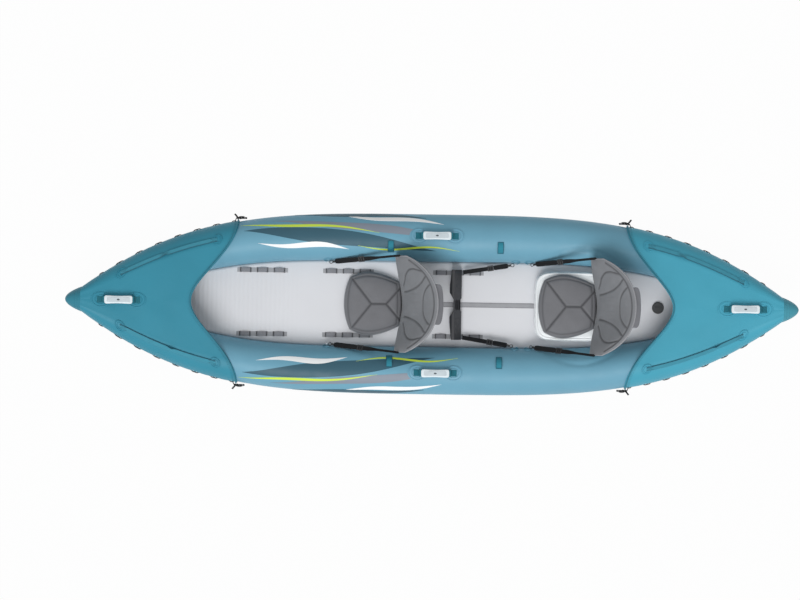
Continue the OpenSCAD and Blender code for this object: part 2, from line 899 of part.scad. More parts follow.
module hinge_flap(hinge, rear_x) {
    slope = [sin(recline), 0, cos(recline)];
    top = [hinge.x, 0, hinge.y] - slope*2*seat_gap;
    foot = [rear_x + flap_t/2 + seat_gap, 0, hinge.y - hinge_up + seat_edge - flap_t];
    color("#5c5d61") ribbon([foot, top - slope*seat_edge/2, top], [0, 1, 0], flap_w, flap_t);
}

module front_hinge_flap() {
    hinge_flap(front_hinge, front_seat_x);
}

module rear_hinge_flap() {
    hinge_flap(rear_hinge, rear_seat_x);
}

// Bag on the back of a backrest
pouch_cols = 8;
pouch_rows = 6;
pouch_low = 160;

function pouch_grid(hinge, out) = [for (i = [0:pouch_rows])
    let (q = sin(180*i/pouch_rows - 90))
    [for (j = [0:pouch_cols])
        let (
            p = sin(180*j/pouch_cols - 90),
            swell = 0.25 + 0.75*sqrt(max(0, (1 - pow(p, 4))*(1 - pow(abs(q), 4)))),
            near = back_t*back_slack/2 + facet_gap)
        back_point(hinge, p*pouch_w/2, pouch_low + pouch_h*(1 + q)/2, -near - (out ? pouch_t*swell : 0))]];

module pouch(hinge) {
    color("#4a4b50") sheet(pouch_grid(hinge, true), pouch_grid(hinge, false));
}

module front_pouch() {
    pouch(front_hinge);
}

module rear_pouch() {
    pouch(rear_hinge);
}

// Anchor rings, the hooks in them, and the straps from there to the backrests and the footrest

ring_turn = 167;
ring_off = 15;
ring_r = 14;
ring_wire = 4;
hook_r = 9;
hook_wire = 3.6;
hook_shank = 16;
wing_hold = 0.5;
strap_start = 6;
pad_share = 0.42;
lock_l = 34;
pad_t = 7;
pad_side = [0, 1, 0.4];

function ring_at(x) = on_tube(x, ring_turn, ring_off);
function wing_at(hinge) = back_point(hinge, back_w/2 + seat_gap + 2.5*web_t, lerp(back_low(1), back_top(1), wing_hold), 0);
footrest_w = 2*(tube_inside(footrest_x) - footrest_gap);
foot_at = [footrest_x + footrest_l/2 + strap_start, footrest_w/2 - 14, footrest_z + footrest_h*0.3];
ring_sets = [
    [ring_at(front_ring_x), wing_at(front_hinge)],
    [ring_at(rear_ring_x), wing_at(rear_hinge)],
    [ring_at(foot_ring_x), foot_at]];

function turn_of(v) = atan2(v.y, v.x);
function climb_of(v) = atan2(v.z, norm([v.x, v.y]));

module facing(from, to) {
    translate(from)
        rotate([0, -climb_of(to - from), turn_of(to - from)])
            children();
}

module half_ring(r, wire) {
    rotate([90, 0, 0]) {
        rotate(-90) rotate_extrude(angle = 180) translate([r, 0]) circle(d = wire, $fn = 24);
        translate([0, r, 0]) rotate([90, 0, 0]) cylinder(d = wire, h = 2*r, $fn = 24);
    }
}

module anchor_rings() {
    color("#9aa0a4") both_sides() for (set = ring_sets)
        facing(set[0], set[1]) half_ring(ring_r, ring_wire);
}

hook_ring_x = ring_r + hook_r - hook_wire/2 - ring_wire/2 - seat_gap;
hook_end_x = hook_ring_x + hook_r + hook_shank;

module strap_hooks() {
    color("#2b2e33") both_sides() for (set = ring_sets)
        facing(set[0], set[1]) translate([hook_ring_x, 0, 0]) {
            rotate_extrude() translate([hook_r, 0]) circle(d = hook_wire, $fn = 24);
            translate([hook_r, -seat_web/4, -web_t]) cube([hook_shank, seat_web/2, 2*web_t]);
        }
}

module strap(from, to, web_side) {
    run = to - from;
    dir = unit(run);
    start = from + dir*(hook_end_x + seat_gap);
    lock = from + run*pad_share;
    ribbon([start, lock], pad_side, seat_web + 4, pad_t);
    ribbon([lock + dir*seat_gap, lock + dir*lock_l], pad_side, seat_web + 8, pad_t);
    ribbon([lock + dir*(lock_l + seat_gap), to - dir*web_t], web_side, seat_web, web_t);
}

module seat_strap(set) {
    color("#292c31") strap(set[0], set[1], [0, 0, 1]);
}

module foot_strap(set) {
    color("#292c31") strap(set[0], set[1], pad_side);
}

module front_starboard_strap() {
    seat_strap(ring_sets[0]);
}

module front_port_strap() {
    port_side() front_starboard_strap();
}

module rear_starboard_strap() {
    seat_strap(ring_sets[1]);
}

module rear_port_strap() {
    port_side() rear_starboard_strap();
}

module footrest_starboard_strap() {
    foot_strap(ring_sets[2]);
}

module footrest_port_strap() {
    port_side() footrest_starboard_strap();
}

// Air cushion under the rear seat

booster_sides = 28;
booster_front = 20;
booster_bulge = [[0, 0.92], [0.1, 0.97], [0.3, 0.995], [0.5, 1], [0.7, 0.995], [0.9, 0.97], [1, 0.92]];
booster_corner = 5.5;

function squircle(turn) = pow(pow(abs(cos(turn)), booster_corner) + pow(abs(sin(turn)), booster_corner), -1/booster_corner);

module booster_cushion() {
    x = rear_seat_x - seat_l - booster_front + booster_l/2;
    color("#e8ecee") translate([x, 0, floor_top + seat_gap])
        loft([for (b = booster_bulge)
            [for (k = [0:booster_sides - 1])
                let (turn = 360*k/booster_sides, r = squircle(turn)*b[1])
                [booster_l/2*r*cos(turn), booster_w/2*r*sin(turn), booster_h*b[0]]]]);
}

module booster_valve() {
    x = rear_seat_x + booster_l - seat_l - booster_front - 26;
    color("#c9ced1") translate([x, booster_w*0.3, floor_top + booster_h + 2*seat_gap]) {
        cylinder(d = 22, h = 2);
        cylinder(d = 13, h = 7);
    }
}

// Footrest: two pads on a ribbed neck

neck_l = 49;
pad_bevel = 16;
tread_low = 22;
crest_l = 15;
tread_grooves = 5;
groove_w = 4;
groove_d = 3;
neck_ribs = 4;

module footrest_profile() {
    half = footrest_l/2;
    polygon([[half, 0], [half, tread_low], [-half + 12 + crest_l, footrest_h], [-half + 12, footrest_h],
        [-half, footrest_h - 14], [-half, 0]]);
}

module footrest_outline() {
    half = footrest_w/2;
    neck = neck_w/2;
    front = -footrest_l/2;
    rear = footrest_l/2;
    starboard = [[-neck_l/2, neck], [front, neck], [front, half - pad_bevel], [front + pad_bevel, half],
        [rear, half], [rear, neck], [neck_l/2, neck]];
    polygon(concat(starboard, [for (i = [len(starboard) - 1:-1:0]) [starboard[i].x, -starboard[i].y]]));
}

module footrest_bar() {
    tread_turn = atan2(footrest_h - tread_low, footrest_l - 12 - crest_l);
    slope = norm([footrest_h - tread_low, footrest_l - 12 - crest_l]);
    color("#3a3b3f") translate([footrest_x, 0, footrest_z]) difference() {
        intersection() {
            rotate([90, 0, 0]) linear_extrude(footrest_w, center = true) footrest_profile();
            linear_extrude(footrest_h) footrest_outline();
        }
        translate([footrest_l/2, 0, tread_low])
            rotate([0, tread_turn - 180, 0])
                for (i = [1:tread_grooves], side = [-1, 1])
                    translate([slope*i/(tread_grooves + 1), side*(footrest_w + neck_w)/4, 0])
                        cube([groove_w, (footrest_w - neck_w)/2 - 24, 2*groove_d], center = true);
        for (i = [0:neck_ribs - 1])
            translate([0, neck_w*((i + 0.5)/neck_ribs - 0.5), footrest_h])
                cube([2*footrest_l, neck_w/neck_ribs/2, 2*groove_d], center = true);
    }
}

// Socket for a removable fin, under the stern

fin_plate_t = 3;
fin_plate_w = 62;
fin_box_w = 24;
fin_box_h = 11;
fin_slope = atan(2*keel_rise*(fin_x - flat_keel/2)/pow(half_l - flat_keel/2, 2));

module fin_socket() {
    color("#33383c") translate([fin_x, 0, keel_z(fin_x) - seat_gap]) rotate([0, -fin_slope, 0]) difference() {
        union() {
            translate([0, 0, -fin_plate_t]) linear_extrude(fin_plate_t) round_rect(fin_l + 20, fin_plate_w, 20);
            translate([0, 0, -fin_plate_t - fin_box_h])
                linear_extrude(fin_box_h)
                    round_rect(fin_l, fin_box_w, 8);
        }
        translate([-fin_l/2 + 12, -fin_slot/2, -2*fin_box_h])
            cube([fin_l, fin_slot, 2*fin_box_h - fin_plate_t]);
    }
}

port_side_tube();
starboard_side_tube();
floor_chamber();
bottom_panel();
fin_socket();
bow_cover();
stern_cover();
bow_cover_piping();
stern_cover_piping();
bow_tip_cap();
stern_tip_cap();
bow_port_lacing();
bow_starboard_lacing();
stern_port_lacing();
stern_starboard_lacing();
bow_port_deck_strap();
bow_starboard_deck_strap();
stern_port_deck_strap();
stern_starboard_deck_strap();
bow_handle_grip();
stern_handle_grip();
port_handle_grip();
starboard_handle_grip();
bow_handle_strap();
stern_handle_strap();
port_handle_strap();
starboard_handle_strap();
welded_patches();
gear_loops();
port_floor_strips();
starboard_floor_strips();
floor_centre_strip();
floor_valve_base();
floor_valve_plunger();
floor_valve_cap();
port_valve_base();
port_valve_plunger();
port_valve_cap();
starboard_valve_base();
starboard_valve_plunger();
starboard_valve_cap();
front_seat_base();
front_backrest();
front_hinge_flap();
front_pouch();
front_port_strap();
front_starboard_strap();
rear_seat_base();
rear_backrest();
rear_hinge_flap();
rear_pouch();
rear_port_strap();
rear_starboard_strap();
booster_cushion();
booster_valve();
anchor_rings();
strap_hooks();
footrest_bar();
footrest_port_strap();
footrest_starboard_strap();
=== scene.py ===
"""Looks of a two-seat inflatable kayak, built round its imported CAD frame.

All sizes are metres in the CAD frame: bow towards -X, starboard towards +Y, keel on Z = 0.
"""

import logging
import math
from dataclasses import dataclass
from enum import Enum
from typing import Callable, Optional, Sequence, Union

import bmesh
import bpy
import numpy as np
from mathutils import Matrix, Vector


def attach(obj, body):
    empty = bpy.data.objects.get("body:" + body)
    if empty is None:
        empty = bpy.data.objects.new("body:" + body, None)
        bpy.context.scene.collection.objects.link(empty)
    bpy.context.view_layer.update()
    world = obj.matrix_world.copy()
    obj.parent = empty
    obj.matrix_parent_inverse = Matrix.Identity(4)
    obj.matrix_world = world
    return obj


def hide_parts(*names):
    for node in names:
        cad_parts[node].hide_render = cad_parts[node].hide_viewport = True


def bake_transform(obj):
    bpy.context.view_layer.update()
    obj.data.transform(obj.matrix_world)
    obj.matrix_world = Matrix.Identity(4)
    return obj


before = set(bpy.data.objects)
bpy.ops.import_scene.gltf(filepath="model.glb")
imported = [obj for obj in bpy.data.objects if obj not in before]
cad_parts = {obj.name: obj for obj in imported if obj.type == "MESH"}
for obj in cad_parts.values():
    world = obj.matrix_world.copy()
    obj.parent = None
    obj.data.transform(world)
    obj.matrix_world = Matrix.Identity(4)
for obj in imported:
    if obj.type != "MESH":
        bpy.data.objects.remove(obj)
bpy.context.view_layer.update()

LOG = logging.getLogger("kayak")
Array = np.ndarray
Object = bpy.types.Object
Tree = bpy.types.NodeTree
Node = bpy.types.Node
Socket = bpy.types.NodeSocket
Link = Union[Node, Socket]
Floats = tuple[float, ...]
Pairs = tuple[tuple[float, float], ...]
Triples = tuple[tuple[float, float, float], ...]
Cushion = tuple[Array, Array, Array]  # top, underside and seam marks

WHITE = "#ffffff"
SEAT_GAP = 0.0003  # between two pieces that lie on each other
FACET_GAP = 0.0013  # over a curved CAD surface, whose mesh is made of facets
WEB_T = 0.002  # thickness of webbing
THREAD_UP = 0.0002  # from cloth to the middle of a thread on it
X_AXIS, Y_AXIS, Z_AXIS = np.eye(3)


class Half(Enum):
    """One of two mirrored halves of the hull."""

    @property
    def label(self) -> str:
        """Its name as pieces and CAD nodes have it."""
        return self.name.lower()


class Side(Half):
    """The two sides of the hull, with the sign of Y."""

    PORT = -1
    STARBOARD = 1

    @property
    def flip(self) -> Array:
        """Factors that take a starboard point to this side."""
        return np.array([1, self.value, 1])


class End(Half):
    """The two ends of the hull, with the sign of X."""

    BOW = -1
    STERN = 1

    @property
    def flip(self) -> Array:
        """Factors that take a point of the stern to this end."""
        return np.array([self.value, 1, 1])


def linear(code: str) -> tuple[float, float, float, float]:
    """Turns an sRGB hex colour into a linear one.

    Args:
        code: A hash and six hex digits.

    Returns:
        Red, green, blue and alpha.
    """
    parts = [int(code[i:i + 2], 16)/255 for i in (1, 3, 5)]
    red, green, blue = [c/12.92 if c <= 0.04045 else ((c + 0.055)/1.055)**2.4 for c in parts]
    return red, green, blue, 1.0


def wave_scale(period: float) -> float:
    """Scale of a wave texture whose bands repeat after a length in metres."""
    return 2*math.pi/(20*period)


# Nodes and finishes


class Nodes:
    """A node tree that nodes are added to."""

    def __init__(self, tree: Tree, prefix: str) -> None:
        """Takes the tree, and the prefix that most of its node types have."""
        self.tree, self.prefix = tree, prefix

    def add(self, kind: str, inputs: Optional[dict] = None, **settings: object) -> Node:
        """Adds a node.

        Args:
            kind: The node's type, where the prefix may be left out.
            inputs: What goes into it, by input name or number.
            settings: Its properties.

        Returns:
            The new node.
        """
        node = self.tree.nodes.new(kind if "Node" in kind else self.prefix + kind)
        for name, value in settings.items():
            setattr(node, name, value)
        for key, value in (inputs or {}).items():
            self.plug(node, key, value)
        return node

    def plug(self, node: Node, key: Union[str, int], value: object) -> None:
        """Puts something into a node's input.

        Args:
            node: The node.
            key: The input's name or number.
            value: A value, an output socket, or a node for its first output.
        """
        value = value.outputs[0] if isinstance(value, Node) else value
        if isinstance(value, Socket):
            self.tree.links.new(value, node.inputs[key])
        else:
            node.inputs[key].default_value = value


class Shading(Nodes):
    """A material's tree, with the effects that finishes share."""

    def __init__(self, tree: Tree, colour: str, roughness: float) -> None:
        """Takes the tree and sets the colour and the gloss of its shader.

        Args:
            tree: The material's tree.
            colour: An sRGB hex colour.
            roughness: The shader's roughness.
        """
        super().__init__(tree, "ShaderNode")
        self.colour, self.roughness = linear(colour), roughness
        self.set({"Base Color": self.colour, "Roughness": roughness})

    def set(self, inputs: dict) -> None:
        """Puts something into each of some inputs of the shader."""
        for key, value in inputs.items():
            self.plug(self.tree.nodes["Principled BSDF"], key, value)

    def mottle(self, where: Link, size: float, depth: float) -> Node:
        """Lets the colour drift a little over the surface.

        Args:
            where: Coordinates.
            size: Width of a cloud, in metres.
            depth: How much lighter and darker it gets, as a share.

        Returns:
            A node that gives the colour.
        """
        cloud = self.add("TexNoise", {"Vector": where, "Scale": 1/size, "Detail": 3.0})
        shift = self.add("MapRange", {
            "Value": cloud, "From Min": 0.3, "From Max": 0.7,
            "To Min": 1 - depth, "To Max": 1 + depth})
        return self.add("HueSaturation", {"Color": self.colour, "Value": shift})

    def tint(self, colour: object, fac: Link, low: float, high: float,
             **settings: object) -> None:
        """Makes a colour lighter or darker by a pattern.

        Args:
            colour: The colour, or a node that gives it.
            fac: The pattern, from 0 to 1.
            low: Brightness where the pattern is 0.
            high: Brightness where it is 1.
            settings: How it goes from one to the other.
        """
        shade = self.add("MapRange", {"Value": fac, "To Min": low, "To Max": high}, **settings)
        self.set({"Base Color": self.add("HueSaturation", {"Color": colour, "Value": shade})})

    def relief(self, height: Link, strength: float, depth: float,
               under: Optional[Node] = None) -> None:
        """Adds a bump to the shader.

        Args:
            height: Heights from 0 to 1.
            strength: Share of the bump that shows.
            depth: Height in metres.
            under: A node with the normals that the bump starts from.
        """
        inputs = {"Height": height, "Strength": strength, "Distance": depth}
        self.set({"Normal": self.add("Bump", {**inputs, "Normal": under} if under else inputs)})

    def uneven(self, fac: Link, spread: float) -> None:
        """Lets the gloss vary with a pattern.

        Args:
            fac: The pattern.
            spread: How far the roughness goes either way.
        """
        self.set({"Roughness": self.add("MapRange", {
            "Value": fac, "From Min": 0.3, "From Max": 0.7,
            "To Min": self.roughness - spread, "To Max": self.roughness + spread})})


@dataclass(frozen=True)
class Finish:
    """A material, by its common name, with what the eye gets from it."""

    name: str
    colour: str
    roughness: float

    def material(self) -> bpy.types.Material:
        """Makes the material once, and gives the same one afterwards.

        Returns:
            The material.
        """
        found = bpy.data.materials.get(self.name)
        if found:
            return found
        made = bpy.data.materials.new(self.name)
        made.use_nodes = True
        made.diffuse_color = linear(self.colour)
        self.dress(Shading(made.node_tree, self.colour, self.roughness))
        return made

    def dress(self, on: Shading) -> None:
        """Adds the nodes of this finish to a material's shading."""
        raise NotImplementedError


@dataclass(frozen=True)
class CoatedFabric(Finish):
    """PVC-coated polyester, calendered: a satin skin, a fine pebble and soft handling creases."""

    pebble: float = 0.003
    crease: float = 0.110

    def dress(self, on: Shading) -> None:
        """Adds drifting colour, creases and a pebble of 1 mm, drawn at 3 mm to show.

        Args:
            on: The material's shading.
        """
        where = on.add("TexCoord").outputs["Object"]
        grain = on.add("TexNoise", {"Vector": where, "Scale": 1/self.pebble, "Detail": 1.0})
        fold = on.add("TexNoise", {
            "Vector": where, "Scale": 1/self.crease, "Detail": 4.0, "Distortion": 0.8})
        height = on.add("Math", {0: grain, 1: 0.12, 2: fold}, operation="MULTIPLY_ADD")
        on.set({"Base Color": on.mottle(where, size=0.220, depth=0.035),
                "Specular IOR Level": 0.25})
        on.relief(height, strength=0.35, depth=0.004)
        on.uneven(fold, spread=0.06)


@dataclass(frozen=True)
class DropStitchSheet(Finish):
    """Drop-stitch floor in pale PVC: flat and satin, dimpled by its threads, in rows at the bow."""

    row_pitch: float = 0.025
    dimple: float = 0.012
    rows_from: float = -0.62
    rows_full: float = -1.02

    def dress(self, on: Shading) -> None:
        """Adds rows that fade towards the seats, and dimples of about 6 mm, drawn at 12 mm to show.

        Args:
            on: The material's shading.
        """
        where = on.add("TexCoord").outputs["Object"]
        bands = on.add("TexWave", {
            "Vector": where, "Scale": wave_scale(self.row_pitch), "Distortion": 0.6,
            "Detail": 1.0, "Detail Scale": 0.6})
        along = on.add("SeparateXYZ", {0: where})
        share = on.add("MapRange", {
            "Value": along, "From Min": self.rows_from, "From Max": self.rows_full},
            interpolation_type="SMOOTHSTEP")
        rows = on.add("Math", {0: bands.outputs["Fac"], 1: share}, operation="MULTIPLY")
        dimples = on.add("TexVoronoi", {
            "Vector": where, "Scale": 1/self.dimple, "Randomness": 0.4})
        height = on.add("Math", {0: dimples, 1: 0.25, 2: rows}, operation="MULTIPLY_ADD")
        on.tint(on.mottle(where, size=0.300, depth=0.02), rows, low=1.0, high=0.975)
        on.relief(height, strength=0.3, depth=0.0015)
        on.uneven(dimples, spread=0.04)


@dataclass(frozen=True)
class Webbing(Finish):
    """Woven polyester webbing: dull, with ribs across it and a herringbone along it."""

    rib: float = 0.0035
    cord: float = 0.0055
    sheen: float = 0.04

    def dress(self, on: Shading) -> None:
        """Adds the weave on the strap's own UV map, at about twice the thread spacing to show.

        Args:
            on: The material's shading.
        """
        where = on.add("UVMap", uv_map="UVMap")
        ribs, cords = (
            on.add("TexWave", {"Vector": where, "Scale": wave_scale(period), "Distortion": 0.4},
                   bands_direction=way).outputs["Fac"]
            for period, way in ((self.rib, "X"), (self.cord, "Y")))
        weave = on.add("Math", {0: ribs, 1: cords}, operation="MULTIPLY")
        on.tint(on.mottle(where, size=0.050, depth=0.05), weave, low=0.86, high=1.1)
        on.set({"Sheen Weight": self.sheen, "Specular IOR Level": 0.2})
        on.relief(weave, strength=0.5, depth=0.0008)


@dataclass(frozen=True)
class SeatCloth(Finish):
    """Oxford polyester over foam: a dull woven face, with painted shade along its drawn-in seams.
    """

    thread: float = 0.0028
    seam_shade: float = 0.52

    def dress(self, on: Shading) -> None:
        """Adds a crossed weave, at about four times the thread spacing to show, and painted shade
        on seams.

        Args:
            on: The material's shading.
        """
        where = on.add("TexCoord").outputs["Object"]
        seam = on.add("Attribute", attribute_name="seam").outputs["Fac"]
        turned = on.add("Mapping", {"Vector": where, "Rotation": (0.0, 0.0, math.pi/2)})
        warp, weft = (
            on.add("TexWave", {"Vector": way, "Scale": wave_scale(self.thread), "Distortion": 0.5},
                   bands_direction="DIAGONAL").outputs["Fac"]
            for way in (where, turned))
        weave = on.add("Math", {0: warp, 1: weft}, operation="MULTIPLY")
        # The seam marks darken the cloth: painted shade in the sewn channels.
        on.tint(on.mottle(where, size=0.060, depth=0.05), seam, low=1.03, high=self.seam_shade,
                interpolation_type="SMOOTHSTEP")
        on.set({"Sheen Weight": 0.12})
        on.relief(weave, strength=0.35, depth=0.0006)


@dataclass(frozen=True)
class MouldedPlastic(Finish):
    """Injection-moulded nylon or polypropylene: a spark-eroded grain, with edges worn smooth."""

    grain: float = 0.0012
    edge: float = 0.0008

    def dress(self, on: Shading) -> None:
        """Adds the grain, at about twice its size to show, and rounds the edges in the light.

        Args:
            on: The material's shading.
        """
        where = on.add("TexCoord").outputs["Object"]
        grain = on.add("TexNoise", {"Vector": where, "Scale": 1/self.grain, "Detail": 2.0})
        edge = on.add("Bevel", {"Radius": self.edge}, samples=4)
        on.set({"Base Color": on.mottle(where, size=0.030, depth=0.05)})
        on.relief(grain, strength=0.2, depth=0.0003, under=edge)
        on.uneven(grain, spread=0.05)


@dataclass(frozen=True)
class BraidedCord(Finish):
    """Braided polyester cord: dull, with strands that cross round it."""

    lay: float = 0.007
    strands: float = 4.0

    def dress(self, on: Shading) -> None:
        """Adds the strands on the cord's own length and turn.

        Args:
            on: The material's shading.
        """
        steps, turns = (
            on.add("Math", {0: on.add("Attribute", attribute_name=name).outputs["Fac"], 1: times},
                   operation="MULTIPLY")
            for name, times in (("along", 1/self.lay), ("around", self.strands)))
        where = on.add("CombineXYZ", {0: steps, 1: turns})
        crossed = on.add("TexChecker", {"Vector": where, "Scale": 2.0}).outputs["Fac"]
        on.tint(on.colour, crossed, low=0.8, high=1.25)
        on.relief(crossed, strength=0.3, depth=0.0005)


@dataclass(frozen=True)
class SteelWire(Finish):
    """Bright stainless wire, drawn: a clear gloss broken by fine draw marks."""

    mark: float = 0.0015

    def dress(self, on: Shading) -> None:
        """Makes it metal, with marks drawn at about twice their size to show.

        Args:
            on: The material's shading.
        """
        where = on.add("TexCoord").outputs["Object"]
        marks = on.add("TexNoise", {"Vector": where, "Scale": 1/self.mark, "Detail": 2.0})
        on.set({"Metallic": 1.0})
        on.relief(marks, strength=0.15, depth=0.0002)
        on.uneven(marks, spread=0.08)


@dataclass(frozen=True)
class AirVinyl(Finish):
    """Soft white vinyl of an air cushion: a wet-looking gloss over small wrinkles."""

    wrinkle: float = 0.028

    def dress(self, on: Shading) -> None:
        """Adds wrinkles and a clear coat.

        Args:
            on: The material's shading.
        """
        where = on.add("TexCoord").outputs["Object"]
        folds = on.add("TexNoise", {
            "Vector": where, "Scale": 1/self.wrinkle, "Detail": 3.0, "Distortion": 1.2})
        on.set({"Base Color": on.mottle(where, size=0.080, depth=0.02),
                "Coat Weight": 0.4, "Coat Roughness": 0.15})
        on.relief(folds, strength=0.4, depth=0.003)
        on.uneven(folds, spread=0.05)


TUBE_FABRIC = CoatedFabric("coated fabric, tube blue", "#6a9eb4", 0.46)
# One cover fabric in two tones: the bow's is painted darker as painted shade, the stern's lighter
# as painted light.
COVER_FABRICS = {End.BOW: CoatedFabric("coated fabric, cover teal", "#32849a", 0.5),
                 End.STERN: CoatedFabric("coated fabric, faded cover teal", "#439bb2", 0.5)}
BOTTOM_FABRIC = CoatedFabric("coated fabric, bottom slate", "#4a6f7d", 0.55)
TRIM_FABRIC = CoatedFabric("coated fabric, trim teal", "#34788b", 0.5)
# The caps, like the covers: painted shade at the bow, painted light at the stern.
CAP_FABRICS = {End.BOW: CoatedFabric("coated fabric, cap teal", "#2f7a8d", 0.5),
               End.STERN: CoatedFabric("coated fabric, faded cap teal", "#428e9f", 0.5)}
PRINT_TEAL = CoatedFabric("printed fabric, deep teal", "#365a69", 0.44)
PRINT_LIME = CoatedFabric("printed fabric, lime", "#c8e04e", 0.44)
PRINT_GREY = CoatedFabric("printed fabric, grey", "#818a96", 0.44)
PRINT_WHITE = CoatedFabric("printed fabric, white", "#eef1f2", 0.44)
FLOOR_SHEET = DropStitchSheet("drop-stitch sheet, pale grey", "#d4d5d9", 0.48)
TEAL_WEB = Webbing("woven webbing, teal", "#33869a", 0.8)
HANDLE_WEB = Webbing("woven webbing, deep teal", "#27707f", 0.8)
GREY_WEB = Webbing("woven webbing, grey", "#a6a7ab", 0.8)
# The strips' grey webbing painted darker on the raised loops: painted shade.
LOOP_WEB_IN_PAINTED_SHADE = Webbing("woven webbing, loop grey", "#8b8c91", 0.8)
DECK_WEB = Webbing("woven webbing, cover teal", "#4391a6", 0.8)
BLACK_WEB = Webbing("woven webbing, black", "#101215", 0.75)
FLAP_CLOTH = Webbing("woven cloth, flap black", "#26272a", 0.85)
BASE_CLOTH = SeatCloth("oxford cloth, seat grey", "#6c6d71", 0.82)
BACK_CLOTH = SeatCloth("oxford cloth, backrest grey", "#787a7e", 0.82)
BAG_CLOTH = SeatCloth("oxford cloth, bag grey", "#727378", 0.85)
BINDING = BraidedCord("bias binding, light grey", "#909195", 0.8)
PANEL_PLASTIC = MouldedPlastic("moulded plastic, grip panel grey", "#bfcad0", 0.55)
GRIP_PLASTIC = MouldedPlastic("moulded plastic, pale grey", "#d6e1e6", 0.42)
INLAY_PLASTIC = MouldedPlastic("moulded plastic, slate", "#4a545b", 0.45)
VALVE_PLASTIC = MouldedPlastic("moulded plastic, valve grey", "#2b2e31", 0.42)
SEAL_PLASTIC = MouldedPlastic("moulded plastic, valve black", "#131517", 0.4)
HOOK_PLASTIC = MouldedPlastic("moulded plastic, hook black", "#16181b", 0.42)
FOOT_PLASTIC = MouldedPlastic("moulded plastic, footrest grey", "#2c2d31", 0.5)
EYELET_PLASTIC = MouldedPlastic("moulded plastic, eyelet teal", "#2c5d6b", 0.45)
CLEAR_PLASTIC = MouldedPlastic("moulded plastic, clear grey", "#c9ced1", 0.3)
LACE_CORD = BraidedCord("braided cord, black", "#17191c", 0.75)
# A dark teal cord that is painted shadow: along the deck straps' inboard edges and round the gear
# loops.
PAINTED_SHADOW_CORD = BraidedCord("edge binding, dark teal", "#22596a", 0.75)
DARK_THREAD = BraidedCord("sewing thread, charcoal", "#3c3e42", 0.7)
TEAL_THREAD = BraidedCord("sewing thread, teal", "#2f6676", 0.7)
WIRE = SteelWire("stainless wire", "#b4b9bc", 0.28)
VINYL = AirVinyl("air vinyl, white", "#e9edef", 0.3)


@dataclass(frozen=True)
class Stitch:
    """A kind of stitch: its thread, the pitch from one to the next, its length and its width."""

    thread: Finish
    pitch: float
    length: float
    width: float = 0.0016


DARK_STITCH = Stitch(DARK_THREAD, 0.007, 0.005)
# Wide dark bartacks: real tacks, and also painted shadow at the feet of the floor loops.
TACK_STITCH = Stitch(DARK_THREAD, 0.004, 0.0044, 0.0026)
ZIP_TEETH = Stitch(DARK_THREAD, 0.004, 0.0034, 0.005)
TEAL_STITCH = Stitch(TEAL_THREAD, 0.006, 0.0045)
HEM_STITCH = Stitch(TEAL_THREAD, 0.010, 0.0065)
CAP_STITCH = Stitch(TEAL_THREAD, 0.009, 0.006)


# Shapes


def unit(v: Array) -> Array:
    """Vectors of length one, along the last axis."""
    v = np.asarray(v, float)
    return v/np.linalg.norm(v, axis=-1, keepdims=True)


def xyz(x: Array, y: Array, z: Array) -> Array:
    """Points from coordinates of shapes that go together."""
    return np.stack(np.broadcast_arrays(x, y, z), -1)


def eased(count: int) -> Array:
    """Steps from -1 to 1 that get closer towards both ends."""
    return np.sin(np.linspace(-np.pi/2, np.pi/2, count))


def ramp(t: Array) -> Array:
    """A smooth way from 0 to 1."""
    return t*t*(3 - 2*t)


def bell(t: Array) -> Array:
    """A smooth hump: 1 at nothing, and soon nothing on both sides of it."""
    return np.exp(-t**2)


def square_to(side: Array, along: Array) -> Array:
    """The part of a side vector that is square to a direction, at length one."""
    side = np.broadcast_to(np.asarray(side, float), along.shape)
    return unit(side - along*np.sum(side*along, -1, keepdims=True))


def headings(path: Array) -> Array:
    """Directions along a path, one at each point."""
    longer = np.concatenate([path[:1], path, path[-1:]])
    return unit(longer[2:] - longer[:-2])


def smooth(points: Sequence[Sequence[float]], per: int = 8) -> Array:
    """A rounded path through points.

    Args:
        points: The points it passes.
        per: Steps between two points.

    Returns:
        The denser path.
    """
    p = np.asarray(points, float)
    p = np.concatenate([2*p[:1] - p[1:2], p, 2*p[-1:] - p[-2:-1]])
    out = [0.5*(2*b + (c - a)*t + (2*a - 5*b + 4*c - d)*t*t + (3*b - a - 3*c + d)*t**3)
           for a, b, c, d in zip(p, p[1:], p[2:], p[3:]) for t in np.arange(per)/per]
    return np.array(out + [p[-2]])


def web_section(width: float, thick: float) -> Array:
    """Section of a flat strap with soft edges.

    Args:
        width: Its width.
        thick: Its thickness.

    Returns:
        Its points, anticlockwise.
    """
    w, t, c = width/2, thick/2, thick*0.3
    right = [[w - c, -t], [w, -t + c], [w, t - c], [w - c, t]]
    left = [[-x, -y] for x, y in right]
    return np.array([left[3], [0, -t], *right, [0, t], *left[:3]])


def pad_section(width: float, thick: float, sides: int = 20, power: float = 3.0) -> Array:
    """Rounded section of a stuffed strap or a moulding.

    Args:
        width: Its width.
        thick: Its thickness.
        sides: How many points it has.
        power: 2 for an oval, more for squarer corners.

    Returns:
        Its points, anticlockwise.
    """
    turn = 2*math.pi*np.arange(sides)/sides
    c, s = np.cos(turn), np.sin(turn)
    r = (np.abs(c)**power + np.abs(s)**power)**(-1/power)
    return np.stack([width/2*r*c, thick/2*r*s], -1)


@dataclass(frozen=True)
class Bend:
    """Two bodies that a flexible piece joins, and the points where its bend starts and ends."""

    bodies: tuple[str, str]
    start: Array
    end: Array


def linked(name: str, data: bpy.types.ID) -> Object:
    """Puts a mesh, a light or a camera into the scene.

    Args:
        name: The object's name.
        data: What it shows.

    Returns:
        The object, at the origin.
    """
    made = bpy.data.objects.new(name, data)
    bpy.context.scene.collection.objects.link(made)
    return made


